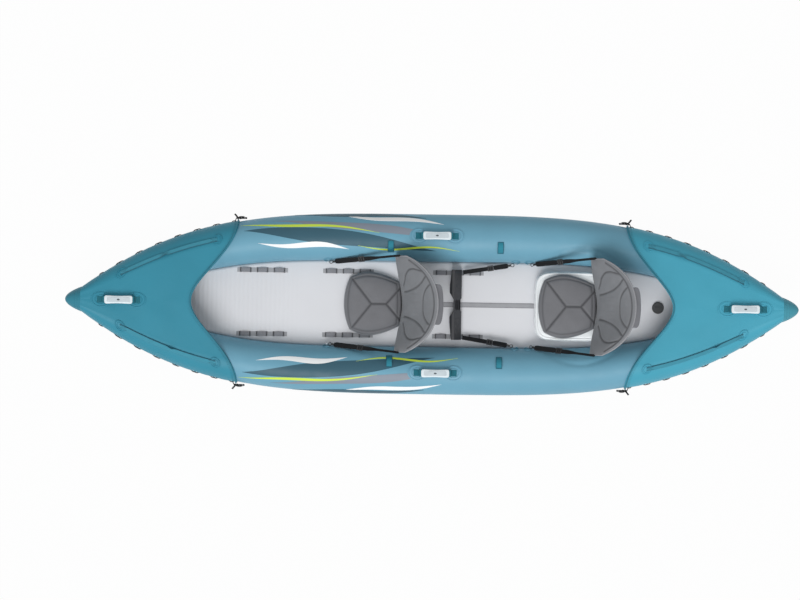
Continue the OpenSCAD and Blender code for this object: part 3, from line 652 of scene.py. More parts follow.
def place(piece: Object, slot: str, *nodes: str, on: Union[str, Bend] = "hull") -> Object:
    """Lets a piece move with the part and stand for CAD nodes.

    Args:
        piece: The piece.
        slot: Not used.
        nodes: The CAD nodes that it stands for.
        on: The body that it rides on, or the bend between two.

    Returns:
        The piece.
    """
    if isinstance(on, Bend):
        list(on.bodies)
        tuple(on.start)
        tuple(on.end)
        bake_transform(piece)
        LOG.info("%s bends between %s and %s", piece.name, *on.bodies)
    else:
        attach(piece, on)
        LOG.info("%s rides on %s", piece.name, on)
    if nodes:
        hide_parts(*nodes)
    return piece


class Draft:
    """Points, faces, UVs and seam marks of one mesh, gathered shape by shape."""

    def __init__(self) -> None:
        """Starts empty."""
        self.points: list[Array] = []
        self.seams: list[Array] = []
        self.uvs: list[Array] = []
        self.faces: list[tuple[int, ...]] = []
        self.count = 0

    def add_points(self, points: Array, seam: Optional[Array] = None) -> Array:
        """Adds points.

        Args:
            points: The points, in rows of any shape.
            seam: Their seam marks, from 0 to 1.

        Returns:
            The points' numbers, in the same shape.
        """
        flat = np.asarray(points, float).reshape(-1, 3)
        self.points.append(flat)
        self.seams.append(np.zeros(len(flat)) if seam is None else np.ravel(seam))
        self.count += len(flat)
        return np.arange(self.count - len(flat), self.count).reshape(points.shape[:-1])

    def add_faces(self, corners: Array, uvs: Array) -> None:
        """Adds faces with the same number of corners, and a UV for each corner."""
        self.faces += [tuple(c) for c in corners.reshape(-1, corners.shape[-1]).tolist()]
        self.uvs.append(uvs.reshape(-1, 2))

    @staticmethod
    def spread(points: Array) -> Array:
        """Lays a grid out flat.

        Args:
            points: The grid.

        Returns:
            Lengths along its rows and columns, in metres.
        """
        u, v = (np.cumsum([0, *np.linalg.norm(np.diff(points, axis=a), axis=-1).mean(1 - a)])
                for a in (0, 1))
        return np.stack(np.meshgrid(u, v, indexing="ij"), -1)

    def skin(self, ids: Array, uv: Array, flip: bool = False) -> None:
        """Adds the faces of a grid.

        Args:
            ids: Point numbers.
            uv: Their UVs.
            flip: Whether the faces point the other way.
        """
        low, high = slice(None, -1), slice(1, None)
        cells = [(low, low), (low, high), (high, high), (high, low)][::-1 if flip else 1]
        self.add_faces(np.stack([ids[c] for c in cells], -1), np.stack([uv[c] for c in cells], -2))

    def shell(self, outer: Array, inner: Array, seam: Optional[Array] = None) -> "Draft":
        """Adds a closed sheet between two grids of points.

        Args:
            outer: The outer grid.
            inner: The inner one, of the same shape.
            seam: Seam marks of the outer grid.

        Returns:
            This draft.
        """
        a, b = self.add_points(outer, seam), self.add_points(inner)
        uv = self.spread(outer)
        self.skin(a, uv)
        self.skin(b, uv, flip=True)
        rows, cols = a.shape[0] - 1, a.shape[1] - 1
        rim = ([(0, c) for c in range(cols)] + [(r, cols) for r in range(rows)]
               + [(rows, c) for c in range(cols, 0, -1)] + [(r, 0) for r in range(rows, 0, -1)])
        pairs = list(zip(rim, rim[1:] + rim[:1]))
        self.add_faces(np.array([[a[q], a[p], b[p], b[q]] for p, q in pairs]),
                       np.array([[uv[q], uv[p], uv[p], uv[q]] for p, q in pairs]))
        return self

    def loft(self, rings: Array, seam: Optional[Array] = None) -> "Draft":
        """Adds a closed solid through rings, with flat ends.

        Args:
            rings: Rows of ring points.
            seam: Seam marks of the same rows.

        Returns:
            This draft.
        """
        ids = self.add_points(rings, seam)
        uv = self.spread(np.concatenate([rings, rings[:, :1]], 1))
        self.skin(np.concatenate([ids, ids[:, :1]], 1), uv)
        self.add_faces(ids[0][::-1][None], uv[0, :-1][::-1][None])
        self.add_faces(ids[-1][None], uv[-1, :-1][None])
        return self

    def sweep(self, path: Array, side: Array, section: Array,
              scale: Optional[Array] = None) -> "Draft":
        """Adds a section swept along a path.

        Args:
            path: The points of the path.
            side: One vector near the section's width, or one for each point.
            section: Points of the section, anticlockwise.
            scale: Size of the section at each point, as shares of width and thickness.

        Returns:
            This draft.
        """
        along = headings(path)
        across = square_to(side, along)
        sized = section if scale is None else section*scale[:, None]
        return self.loft(path[:, None] + across[:, None]*sized[..., :1]
                         + np.cross(along, across)[:, None]*sized[..., 1:])

    def build(self, name: str, finish: Finish, sharp: float) -> Object:
        """Makes the object, with smooth faces that point outwards.

        Args:
            name: The piece's name.
            finish: Its finish.
            sharp: Angle past which an edge stays sharp, in degrees.

        Returns:
            The new object, at the origin.
        """
        mesh = bpy.data.meshes.new(name)
        mesh.from_pydata(np.concatenate(self.points).tolist(), [], self.faces)
        mesh.uv_layers.new(name="UVMap").data.foreach_set(
            "uv", np.concatenate(self.uvs).astype(np.float32).ravel())
        # The seam marks become an attribute, which seat cloth reads for painted shade along its
        # seams.
        mesh.attributes.new("seam", "FLOAT", "POINT").data.foreach_set(
            "value", np.concatenate(self.seams).astype(np.float32))
        work = bmesh.new()
        work.from_mesh(mesh)
        bmesh.ops.recalc_face_normals(work, faces=work.faces)
        work.to_mesh(mesh)
        work.free()
        mesh.polygons.foreach_set("use_smooth", np.ones(len(mesh.polygons), bool))
        mesh.set_sharp_from_angle(angle=math.radians(sharp))
        mesh.materials.append(finish.material())
        return linked(name, mesh)

    def place(self, name: str, finish: Finish, slot: str, *nodes: str,
              on: Union[str, Bend] = "hull", sharp: float = 38.0) -> Object:
        """Makes the object as build does, and places it as the function place does."""
        return place(self.build(name, finish, sharp), slot, *nodes, on=on)


# Geometry Nodes for what follows a line or repeats along it


class PathWork:
    """Node trees that lay cord, thread and eyelets along lines."""

    def __init__(self) -> None:
        """Builds the trees."""
        self.cord_tree = self._tree("cord along a line", self._cord, "Radius", "Sides")
        self.stitch_tree = self._tree(
            "stitches along a line", self._stitches, "Pitch", "Length", "Width")
        self.eyelet_tree = self._tree("eyelets at points", self._eyelets, "Radius", "Wire")

    @staticmethod
    def _tree(name: str, fill: Callable[[Nodes, dict], Node], *sizes: str) -> Tree:
        """Makes a tree that turns lines into a smooth mesh with a material.

        Args:
            name: The tree's name.
            fill: Adds its own nodes after the tree's inputs, and gives the last one.
            sizes: Names of the inputs that are numbers.

        Returns:
            The tree.
        """
        tree = bpy.data.node_groups.new(name, "GeometryNodeTree")
        kinds = {"Geometry": "Geometry", **dict.fromkeys(sizes, "Float"), "Material": "Material"}
        if "Sides" in kinds:
            kinds["Sides"] = "Int"
        for socket, kind in kinds.items():
            tree.interface.new_socket(socket, in_out="INPUT", socket_type="NodeSocket" + kind)
        tree.interface.new_socket("Geometry", in_out="OUTPUT", socket_type="NodeSocketGeometry")
        nodes = Nodes(tree, "GeometryNode")
        given = {s.name: s for s in nodes.add("NodeGroupInput").outputs}
        real = nodes.add("RealizeInstances", {"Geometry": fill(nodes, given)})
        soft = nodes.add("SetShadeSmooth", {"Geometry": real})
        made = nodes.add("SetMaterial", {"Geometry": soft, "Material": given["Material"]})
        nodes.add("NodeGroupOutput", {"Geometry": made})
        return tree

    @staticmethod
    def _cord(nodes: Nodes, given: dict) -> Node:
        """Sweeps a circle along each line and keeps the length and turn for the material.

        Args:
            nodes: The tree.
            given: Its inputs by name.

        Returns:
            The last node.
        """
        run = nodes.add("SplineParameter").outputs
        line = nodes.add("MeshToCurve", {"Mesh": given["Geometry"]})
        line = nodes.add("StoreNamedAttribute", {
            "Geometry": line, "Name": "along", "Value": run["Length"]})
        ring = nodes.add("CurvePrimitiveCircle", {
            "Resolution": given["Sides"], "Radius": given["Radius"]})
        ring = nodes.add("StoreNamedAttribute", {
            "Geometry": ring, "Name": "around", "Value": run["Factor"]})
        return nodes.add("CurveToMesh", {"Curve": line, "Profile Curve": ring, "Fill Caps": True})

    @staticmethod
    def _stitches(nodes: Nodes, given: dict) -> Node:
        """Sets a short rounded stitch at each step of a line, along the line.

        Args:
            nodes: The tree.
            given: Its inputs by name.

        Returns:
            The last node.
        """
        line = nodes.add("MeshToCurve", {"Mesh": given["Geometry"]})
        steps = nodes.add("ResampleCurve", {"Curve": line, "Length": given["Pitch"]}, mode="LENGTH")
        bead = nodes.add("MeshUVSphere", {"Segments": 6, "Rings": 4, "Radius": 0.5})
        size = nodes.add("ShaderNodeCombineXYZ", {
            0: given["Length"], 1: given["Width"], 2: given["Width"]})
        stitch = nodes.add("Transform", {"Geometry": bead, "Scale": size})
        turn = nodes.add("FunctionNodeAlignRotationToVector", {
            "Vector": nodes.add("InputTangent")}, axis="X")
        return nodes.add("InstanceOnPoints", {
            "Points": steps, "Instance": stitch, "Rotation": turn})

    @staticmethod
    def _eyelets(nodes: Nodes, given: dict) -> Node:
        """Sets a round eyelet at each point, turned the way the point faces.

        Args:
            nodes: The tree.
            given: Its inputs by name.

        Returns:
            The last node.
        """
        loop = nodes.add("CurvePrimitiveCircle", {"Resolution": 16, "Radius": given["Radius"]})
        wire = nodes.add("CurvePrimitiveCircle", {"Resolution": 6, "Radius": given["Wire"]})
        eyelet = nodes.add("CurveToMesh", {"Curve": loop, "Profile Curve": wire})
        facing = nodes.add("InputNamedAttribute", {"Name": "facing"}, data_type="FLOAT_VECTOR")
        turn = nodes.add("FunctionNodeAlignRotationToVector", {"Vector": facing}, axis="Z")
        return nodes.add("InstanceOnPoints", {
            "Points": given["Geometry"], "Instance": eyelet, "Rotation": turn})

    @staticmethod
    def _grow(name: str, tree: Tree, lines: Sequence[Array], values: dict, closed: bool = False,
              facing: Optional[Array] = None) -> Object:
        """Runs a tree on lines and keeps the result as a plain mesh.

        Args:
            name: The new piece's name.
            tree: The node tree.
            lines: The lines, each an array of points.
            values: The tree's inputs by name.
            closed: Whether each line returns to its start.
            facing: Directions, where the tree works on single points.

        Returns:
            The new object.
        """
        points, edges = [], []
        for line in lines:
            first = len(points)
            points += np.asarray(line).tolist()
            edges += [(i, i + 1) for i in range(first, len(points) - 1)]
            if closed:
                edges.append((len(points) - 1, first))
        mesh = bpy.data.meshes.new(name + ".line")
        mesh.from_pydata(points, edges if facing is None else [], [])
        if facing is not None:
            mesh.attributes.new("facing", "FLOAT_VECTOR", "POINT").data.foreach_set(
                "vector", np.asarray(facing, np.float32).ravel())
        source = linked(name + ".line", mesh)
        work = source.modifiers.new("work", "NODES")
        work.node_group = tree
        for item in tree.interface.items_tree:
            if item.in_out == "INPUT" and item.name in values:
                work[item.identifier] = values[item.name]
        graph = bpy.context.evaluated_depsgraph_get()
        made = bpy.data.meshes.new_from_object(
            source.evaluated_get(graph), preserve_all_data_layers=True, depsgraph=graph)
        bpy.data.objects.remove(source)
        made.name = name
        return linked(name, made)

    def cord(self, name: str, lines: Sequence[Array], diameter: float, finish: Finish,
             sides: int = 8, closed: bool = False) -> Object:
        """Lays a round cord along lines.

        Args:
            name: The piece's name.
            lines: Its centre lines.
            diameter: Its diameter.
            finish: Its finish.
            sides: Sides of its section.
            closed: Whether each line is a loop.

        Returns:
            The cord.
        """
        return self._grow(name, self.cord_tree, lines, {
            "Radius": diameter/2, "Sides": sides, "Material": finish.material()}, closed)

    def stitches(self, name: str, lines: Sequence[Array], stitch: Stitch,
                 closed: bool = False) -> Object:
        """Sews a row of stitches along lines.

        Args:
            name: The piece's name.
            lines: Lines on the cloth.
            stitch: The kind of stitch.
            closed: Whether each line is a loop.

        Returns:
            All the stitches as one piece.
        """
        return self._grow(name, self.stitch_tree, lines, {
            "Pitch": stitch.pitch, "Length": stitch.length, "Width": stitch.width,
            "Material": stitch.thread.material()}, closed)

    def eyelets(self, name: str, points: Array, facing: Array, finish: Finish,
                radius: float = 0.006, wire: float = 0.0014) -> Object:
        """Sets eyelets at points.

        Args:
            name: The piece's name.
            points: Where they sit.
            facing: The way each one faces.
            finish: Their finish.
            radius: Radius of the ring.
            wire: Radius of its rim.

        Returns:
            All the eyelets as one piece.
        """
        return self._grow(name, self.eyelet_tree, [points], {
            "Radius": radius, "Wire": wire, "Material": finish.material()}, facing=facing)


@dataclass(frozen=True)
class HullForm:
    """Outline, keel and crest of the hull, as in the part's source."""

    half_length: float = 2.060
    half_width: float = 0.508
    tube_d: float = 0.284
    tube_w: float = 0.268
    flat_half: float = 0.925
    keel_rise: float = 0.190
    crest_rise: float = 0.040
    taper: float = 0.28
    tube_gap: float = 0.001
    tube_end: float = 1.970
    cover_gap: float = 0.0028
    cover_t: float = 0.0025
    cover_crown: float = 0.010
    cover_reach: float = 0.710
    cover_sweep: float = 0.260
    corner_x: float = 1.090
    crest_k: float = 4.0
    hem_k: float = 13.0
    hem_drop: float = 5.0
    floor_top: float = 0.1243

    @property
    def cover_out(self) -> float:
        """Height of a cover's outer face over the tubes."""
        return self.cover_gap + self.cover_t

    def lift(self, x: Array) -> Array:
        """How far the ends have risen at a station, from 0 to 1."""
        way = (np.abs(x) - self.flat_half)/(self.half_length - self.flat_half)
        return np.clip(way, 0, None)**2

    def half_beam(self, x: Array) -> Array:
        """Half the hull's width at a station."""
        return self.half_width*np.clip(1 - (np.abs(x)/self.half_length)**3.6, 0, None)**1.1

    def keel_z(self, x: Array) -> Array:
        """Height of the keel."""
        return self.keel_rise*self.lift(x)

    def crest_z(self, x: Array) -> Array:
        """Height of the tubes' crest."""
        return self.tube_d + self.crest_rise*self.lift(x)

    def tube_a(self, x: Array) -> Array:
        """Half width of a tube: its own, drawn in smoothly where the hull leaves less room."""
        wide = self.tube_w/2*(1 - self.taper*(x/self.half_length)**2)
        return (wide**-6 + ((self.half_beam(x) - self.tube_gap/2)/2)**-6)**(-1/6)

    def tube_b(self, x: Array) -> Array:
        """Half height of a tube."""
        return (self.crest_z(x) - self.keel_z(x))/2

    def tube_y(self, x: Array) -> Array:
        """A tube's centre line, from the keel line."""
        return self.half_beam(x) - self.tube_a(x)

    def tube_z(self, x: Array) -> Array:
        """Height of a tube's centre line."""
        return (self.crest_z(x) + self.keel_z(x))/2

    def tube_inside(self, x: Array) -> Array:
        """From the keel line to a tube's inner side."""
        return self.tube_y(x) - self.tube_a(x)

    def on_tube(self, x: Array, turn: Array, off: Array = 0.0, side: int = 1) -> Array:
        """Points on a tube or over it.

        Args:
            x: Stations.
            turn: Degrees round the tube: 0 is outboard, 90 the crest.
            off: Heights over the tube.
            side: 1 for starboard, -1 for port.

        Returns:
            The points.
        """
        x, t = np.asarray(x, float), np.radians(turn)
        return xyz(x, side*(self.tube_y(x) + (self.tube_a(x) + off)*np.cos(t)),
                   self.tube_z(x) + (self.tube_b(x) + off)*np.sin(t))

    def tube_facing(self, x: Array, turn: float, step: float = 0.001) -> Array:
        """Directions square to the starboard tube's surface, outwards.

        Args:
            x: Stations.
            turn: Degrees round the tube.
            step: How far apart the points are that give the slope along it.

        Returns:
            The directions.
        """
        round_it = self.on_tube(x, turn + 1) - self.on_tube(x, turn - 1)
        along = self.on_tube(x + step, turn) - self.on_tube(x - step, turn)
        return unit(np.cross(round_it, along))

    def crown(self, x: Array) -> Array:
        """How far a cover's middle stands over the crests."""
        return self.cover_crown*self.tube_y(x)/self.tube_y(0)

    def cover_point(self, k: Array, x: Array, off: Array) -> Array:
        """Points of a cover.

        Args:
            k: Places across it: the crests are at crest_k, the hems at hem_k, less than 0 at port.
            x: Stations.
            off: Heights over the tubes.

        Returns:
            The points.
        """
        k, x, off = np.broadcast_arrays(*(np.asarray(v, float) for v in (k, x, off)))
        m = np.abs(k)
        f = np.minimum(m/self.crest_k, 1)
        down = (m - self.crest_k)/(self.hem_k - self.crest_k)
        wrap = self.on_tube(x, 90 - (90 + self.hem_drop)*down, off)
        middle = xyz(x, f*self.tube_y(x), self.crest_z(x) + off + self.crown(x)*(1 - f*f))
        found = np.where((m <= self.crest_k)[..., None], middle, wrap)
        return found*xyz(1, np.sign(k), 1)

    def cover_edge_x(self, k: Array) -> Array:
        """Stations of a cover's cockpit edge.

        Args:
            k: Places across it, as for cover_point.

        Returns:
            The stations.
        """
        y = np.abs(self.cover_point(k, self.corner_x, 0)[..., 1])
        bow = 1 - np.cos(np.pi*np.minimum(1, y/self.half_beam(self.corner_x)))
        return self.half_length - self.cover_reach - self.cover_sweep*bow/2

    def deck_z(self, x: Array) -> Array:
        """Height of the covers' middle."""
        return self.crest_z(x) + self.cover_out + self.crown(x)


HULL = HullForm()


# Sub-assemblies


@dataclass
class Stage:
    """Pale floor, soft light from the port side, and a camera straight above with a long lens."""

    lens: float = 165.0
    sensor: float = 36.0
    sight: float = 200.0
    height: float = 20.84
    aim_x: float = -0.1794
    aim_y: float = 0.0222
    roll: float = 0.9
    fill: float = 0.55
    key: float = 1.93
    key_way: tuple[float, float, float] = (0.10, 0.58, -0.80)
    key_spread: float = 35.0
    floor_half: float = 14.0
    floor_matt: str = "#c4c6c8"
    floor_glow: float = 0.97

    def build(self) -> None:
        """Builds the floor, the light and the camera."""
        bpy.context.scene.view_settings.view_transform = "Standard"
        self._floor()
        self._light()
        self._camera()

    @staticmethod
    def _seen(nodes: Nodes) -> Node:
        """Tells the rays that show the background itself or its reflection.

        Args:
            nodes: The tree.

        Returns:
            A node that gives 1 on them.
        """
        path = nodes.add("LightPath").outputs
        direct = nodes.add("Math", {0: path["Is Camera Ray"], 1: path["Is Glossy Ray"]},
                           operation="MAXIMUM")
        return nodes.add("Math", {0: direct, 1: path["Is Transmission Ray"]}, operation="MAXIMUM")

    def _floor(self) -> None:
        """Lays a white floor that keeps a light shadow."""
        h = self.floor_half
        mesh = bpy.data.meshes.new("studio_floor")
        mesh.from_pydata([(-h, -h, 0), (h, -h, 0), (h, h, 0), (-h, h, 0)], [], [(0, 1, 2, 3)])
        paint = bpy.data.materials.new("studio floor, white")
        paint.use_nodes = True
        nodes = Nodes(paint.node_tree, "ShaderNode")
        matt = nodes.add("BsdfDiffuse", {"Color": linear(self.floor_matt)})
        glow = nodes.add("Emission", {"Color": linear(WHITE), "Strength": 1.0})
        share = nodes.add("Math", {0: self._seen(nodes), 1: self.floor_glow}, operation="MULTIPLY")
        nodes.plug(paint.node_tree.nodes["Material Output"], "Surface",
                   nodes.add("MixShader", {0: share, 1: matt, 2: glow}))
        mesh.materials.append(paint)
        linked("studio_floor", mesh)

    def _light(self) -> None:
        """Sets an even fill and a broad key from port."""
        world = bpy.data.worlds.new("studio")
        bpy.context.scene.world = world
        world.use_nodes = True
        nodes = Nodes(world.node_tree, "ShaderNode")
        background = world.node_tree.nodes["Background"]
        nodes.plug(background, "Color", linear(WHITE))
        nodes.plug(background, "Strength", nodes.add("MapRange", {
            "Value": self._seen(nodes), "To Min": self.fill, "To Max": 1.0}))
        lamp = bpy.data.lights.new("key", "SUN")
        lamp.energy, lamp.angle = self.key, math.radians(self.key_spread)
        key = linked("key", lamp)
        key.rotation_euler = Vector(self.key_way).to_track_quat("-Z", "Y").to_euler()

    def _camera(self) -> None:
        """Sets the camera."""
        data = bpy.data.cameras.new("camera")
        data.lens, data.sensor_width, data.clip_end = self.lens, self.sensor, self.sight
        camera = linked("camera", data)
        camera.location = (self.aim_x, self.aim_y, self.height)
        camera.rotation_euler = (0.0, 0.0, math.radians(self.roll))
        bpy.context.scene.camera = camera


@dataclass
class SideTubes:
    """The two air tubes, with the creases and puckers of their skin and their seam tapes."""

    rows: int = 260
    cols: int = 96
    crease_from: float = 0.60
    crease_l: float = 0.50
    crease_turn: float = 150.0
    crease_bow: float = 45.0
    crease_depth: float = 0.0045
    crease_width: float = 0.013
    puckers: Triples = ((0.86, 0.052, 0.13), (1.16, 0.047, 0.12))
    pucker_turn: float = 172.0
    pucker_reach: float = 26.0
    pucker_depth: float = 0.0016
    tape_end: float = 1.9
    tape_w: float = 0.030
    tape_turn: float = -38.0
    tape_foot: float = -0.001
    tape_rise: Floats = (0.0003, 0.0011, 0.0012, 0.0011, 0.0003)

    def relief(self, x: Array, turn: Array) -> Array:
        """How far the skin stands in or out, at a crease beside the rear seat and at puckers.

        Args:
            x: Stations.
            turn: Degrees round the tube.

        Returns:
            Heights, mostly below nothing.
        """
        arch = np.sin(np.pi*np.clip((x - self.crease_from)/self.crease_l, 0, 1))
        line = self.crease_turn - self.crease_bow*arch
        reach = np.radians(turn - line)*HULL.tube_d/2/self.crease_width
        height = self.crease_depth*arch**0.7*(0.35*bell((reach - 2.4)/1.6) - bell(reach))
        for start, pitch, width in self.puckers:
            near = (bell((np.abs(x) - start)/width)
                    * bell((turn - self.pucker_turn)/self.pucker_reach))
            height = height - self.pucker_depth*near*(1 + np.cos(2*np.pi*np.abs(x)/pitch))/2
        return height

    def build(self) -> None:
        """Builds both tubes and their tapes."""
        x = HULL.tube_end*eased(self.rows)[:, None]
        turn = np.arange(self.cols)*360/self.cols
        for side in Side:
            Draft().loft(HULL.on_tube(x, turn, self.relief(x, turn), side.value)).place(
                f"{side.label}_tube", TUBE_FABRIC, "tube_fabric", f"{side.label}_side_tube")
        self._tapes()

    def _tapes(self) -> None:
        """Builds the welded tapes along the outside of the tubes."""
        draft = Draft()
        x = np.linspace(-self.tape_end, self.tape_end, 200)[:, None]
        half = np.degrees(self.tape_w/2/HULL.tube_a(x))
        turn = self.tape_turn + half*np.linspace(-1, 1, len(self.tape_rise))
        for side in Side:
            draft.shell(HULL.on_tube(x, turn, np.array(self.tape_rise), side.value),
                        HULL.on_tube(x, turn, self.tape_foot, side.value))
        draft.place("tube_seam_tapes", TUBE_FABRIC, "tube_fabric")


@dataclass(frozen=True)
class Stripe:
    """A printed stripe from one station and turn to another, bowed, and tapered from its belly."""

    finish: Finish
    from_x: float
    to_x: float
    from_turn: float
    to_turn: float
    width: float
    belly: float
    sway: float = 8.0


@dataclass
class Livery:
    """Printed stripes that sweep over the bow half of the tubes."""

    rise: float = 0.0006
    layer: float = 0.0001
    foot: float = -0.0008
    tip: float = 0.0006
    steps: int = 90
    stripes: tuple[Stripe, ...] = (
        Stripe(PRINT_TEAL, -1.060, 0.020, 60, 124, 0.088, 0.45),
        Stripe(PRINT_GREY, -0.900, 0.100, 38, 92, 0.048, 0.6),
        Stripe(PRINT_LIME, -1.080, -0.300, 40, 80, 0.017, 0.4),
        Stripe(PRINT_WHITE, -0.980, -0.470, 98, 122, 0.032, 0.6),
        Stripe(PRINT_LIME, -0.420, 0.150, 112, 124, 0.012, 0.5),
        Stripe(PRINT_WHITE, -0.520, 0.060, 26, 56, 0.032, 0.55),
        Stripe(PRINT_TEAL, -0.780, -0.040, 8, 36, 0.044, 0.5),
    )

    def build(self) -> None:
        """Builds the stripes, one piece for each colour."""
        by_finish: dict[Finish, Draft] = {}
        t = np.linspace(0, 1, self.steps)[:, None]
        for level, stripe in enumerate(self.stripes):
            draft = by_finish.setdefault(stripe.finish, Draft())
            x = stripe.from_x + (stripe.to_x - stripe.from_x)*t
            turn = (stripe.from_turn + (stripe.to_turn - stripe.from_turn)*ramp(t)
                    + stripe.sway*np.sin(2*np.pi*t))
            taper = np.sin(np.pi/2*np.minimum(t/stripe.belly, (1 - t)/(1 - stripe.belly)))
            half = np.degrees(np.maximum(self.tip, stripe.width/2*taper)/HULL.tube_a(x))
            spread = turn + half*np.linspace(-1, 1, 7)
            for side in Side:
                draft.shell(HULL.on_tube(x, spread, self.rise + self.layer*level, side.value),
                            HULL.on_tube(x, spread, self.foot, side.value))
        for finish, draft in by_finish.items():
            colour = finish.name.split(", ")[1].replace(" ", "_")
            draft.place(f"print_{colour}", finish, "tube_fabric")


@dataclass
class Sewn:
    """A sub-assembly with sewn or corded parts."""

    work: PathWork


@dataclass
class Floor(Sewn):
    """Drop-stitch floor, bottom panel and the webbing on the floor."""

    half_length: float = 1.600
    corner: float = 0.018
    corner_share: float = 0.45
    press: float = 0.003
    panel_t: float = 0.002
    panel_share: float = 0.85
    strip_xs: Floats = (-0.958, -0.473, 0.148)
    strip_y: float = 0.180
    strip_l: float = 0.286
    strip_w: float = 0.025
    strip_t: float = 0.0012
    loop_l: float = 0.054
    loop_h: float = 0.006
    loop_t: float = 0.0016
    tack_half: float = 0.012
    tack_rows: Floats = (-0.002, 0.001, 0.004)
    centre_from: float = -0.151
    centre_to: float = 0.577
    centre_w: float = 0.028
    centre_seam: float = 0.0105

    def build(self) -> None:
        """Builds all of it."""
        self._chamber()
        self._panel()
        tacks = self._strips()
        self._centre()
        place(self.work.stitches("floor_tacks", tacks, TACK_STITCH), "grey_webbing")

    def _chamber(self) -> None:
        """Lofts the floor with rounded edges that draw in a little at its ends."""
        x = self.half_length*eased(180)[:, None]
        low = HULL.keel_z(x) + self.panel_t + 2*SEAT_GAP
        r = np.minimum(self.corner, self.corner_share*(HULL.floor_top - low))
        quarters = [np.linspace(q, q + 90, 12) for q in (0, 90, 180, 270)]
        turn = np.radians(np.concatenate(quarters))
        right, over = np.repeat([[1, -1, -1, 1], [1, 1, 0, 0]], 12, axis=1)
        y = right*(HULL.tube_inside(x) + self.press - r) + r*np.cos(turn)
        z = np.where(over, HULL.floor_top - r, low + r) + r*np.sin(turn)
        Draft().loft(xyz(x, y, z)).place(
            "floor_sheet", FLOOR_SHEET, "floor_fabric", "floor_chamber")

    def _panel(self) -> None:
        """Lays the bottom panel between the tubes."""
        x = np.linspace(-self.panel_share, self.panel_share, 160)[:, None]*HULL.half_length
        rise = 2*(self.panel_t + SEAT_GAP)/HULL.tube_b(x)
        half = HULL.tube_y(x) - HULL.tube_a(x)*np.sqrt(rise) - SEAT_GAP
        flat = xyz(x, half*np.linspace(-1, 1, 25), HULL.keel_z(x))
        Draft().shell(flat, flat + Z_AXIS*self.panel_t).place(
            "bottom_sheet", BOTTOM_FABRIC, "bottom_fabric", "bottom_panel")

    def _strips(self) -> list[Array]:
        """Lays the looped strips on the floor.

        Returns:
            Lines of the tacks at the feet of their loops.
        """
        base = HULL.floor_top + SEAT_GAP
        foot = base + self.strip_t + self.loop_t/2 + THREAD_UP
        t = np.linspace(0, 1, 17)
        tacks = []
        for side in Side:
            strips, loops = Draft(), Draft()
            y = side.value*self.strip_y
            for mid in self.strip_xs:
                line = mid + self.strip_l*np.linspace(-0.5, 0.5, 25)
                strips.sweep(xyz(line, y, base + self.strip_t/2), Y_AXIS,
                             web_section(self.strip_w, self.strip_t))
                for at in mid + self.strip_l*np.array([-1, 0, 1])/3:
                    arch = foot + self.loop_h*np.sin(np.pi*t)**0.8
                    loops.sweep(xyz(at + self.loop_l*(t - 0.5), y, arch), Y_AXIS,
                                web_section(self.strip_w, self.loop_t))
                    # Tacks three rows deep at each foot of a loop: real bartacks, made wide and
                    # dark to be painted shadow at the loops' feet too.
                    tacks += [xyz(at + end*(self.loop_l/2 + row),
                                  y + self.tack_half*np.array([-1, 1]),
                                  foot + self.loop_t/2 + THREAD_UP)
                              for end in (-1, 1) for row in self.tack_rows]
            for draft, part, finish in ((strips, "webbing", GREY_WEB), (loops, "loops", LOOP_WEB_IN_PAINTED_SHADE)):
                draft.place(f"{side.label}_floor_{part}", finish, "grey_webbing",
                            f"{side.label}_floor_strips")
        return tacks

    def _centre(self) -> None:
        """Sews the centre strip to the floor."""
        line = xyz(np.linspace(self.centre_from, self.centre_to, 60), 0,
                   HULL.floor_top + SEAT_GAP + WEB_T/2)
        Draft().sweep(line, Y_AXIS, web_section(self.centre_w, WEB_T)).place(
            "centre_webbing", GREY_WEB, "grey_webbing", "floor_centre_strip")
        rows = [line + [0, y, (WEB_T + THREAD_UP)/2] for y in (-self.centre_seam, self.centre_seam)]
        place(self.work.stitches("floor_stitches", rows, DARK_STITCH), "grey_webbing")


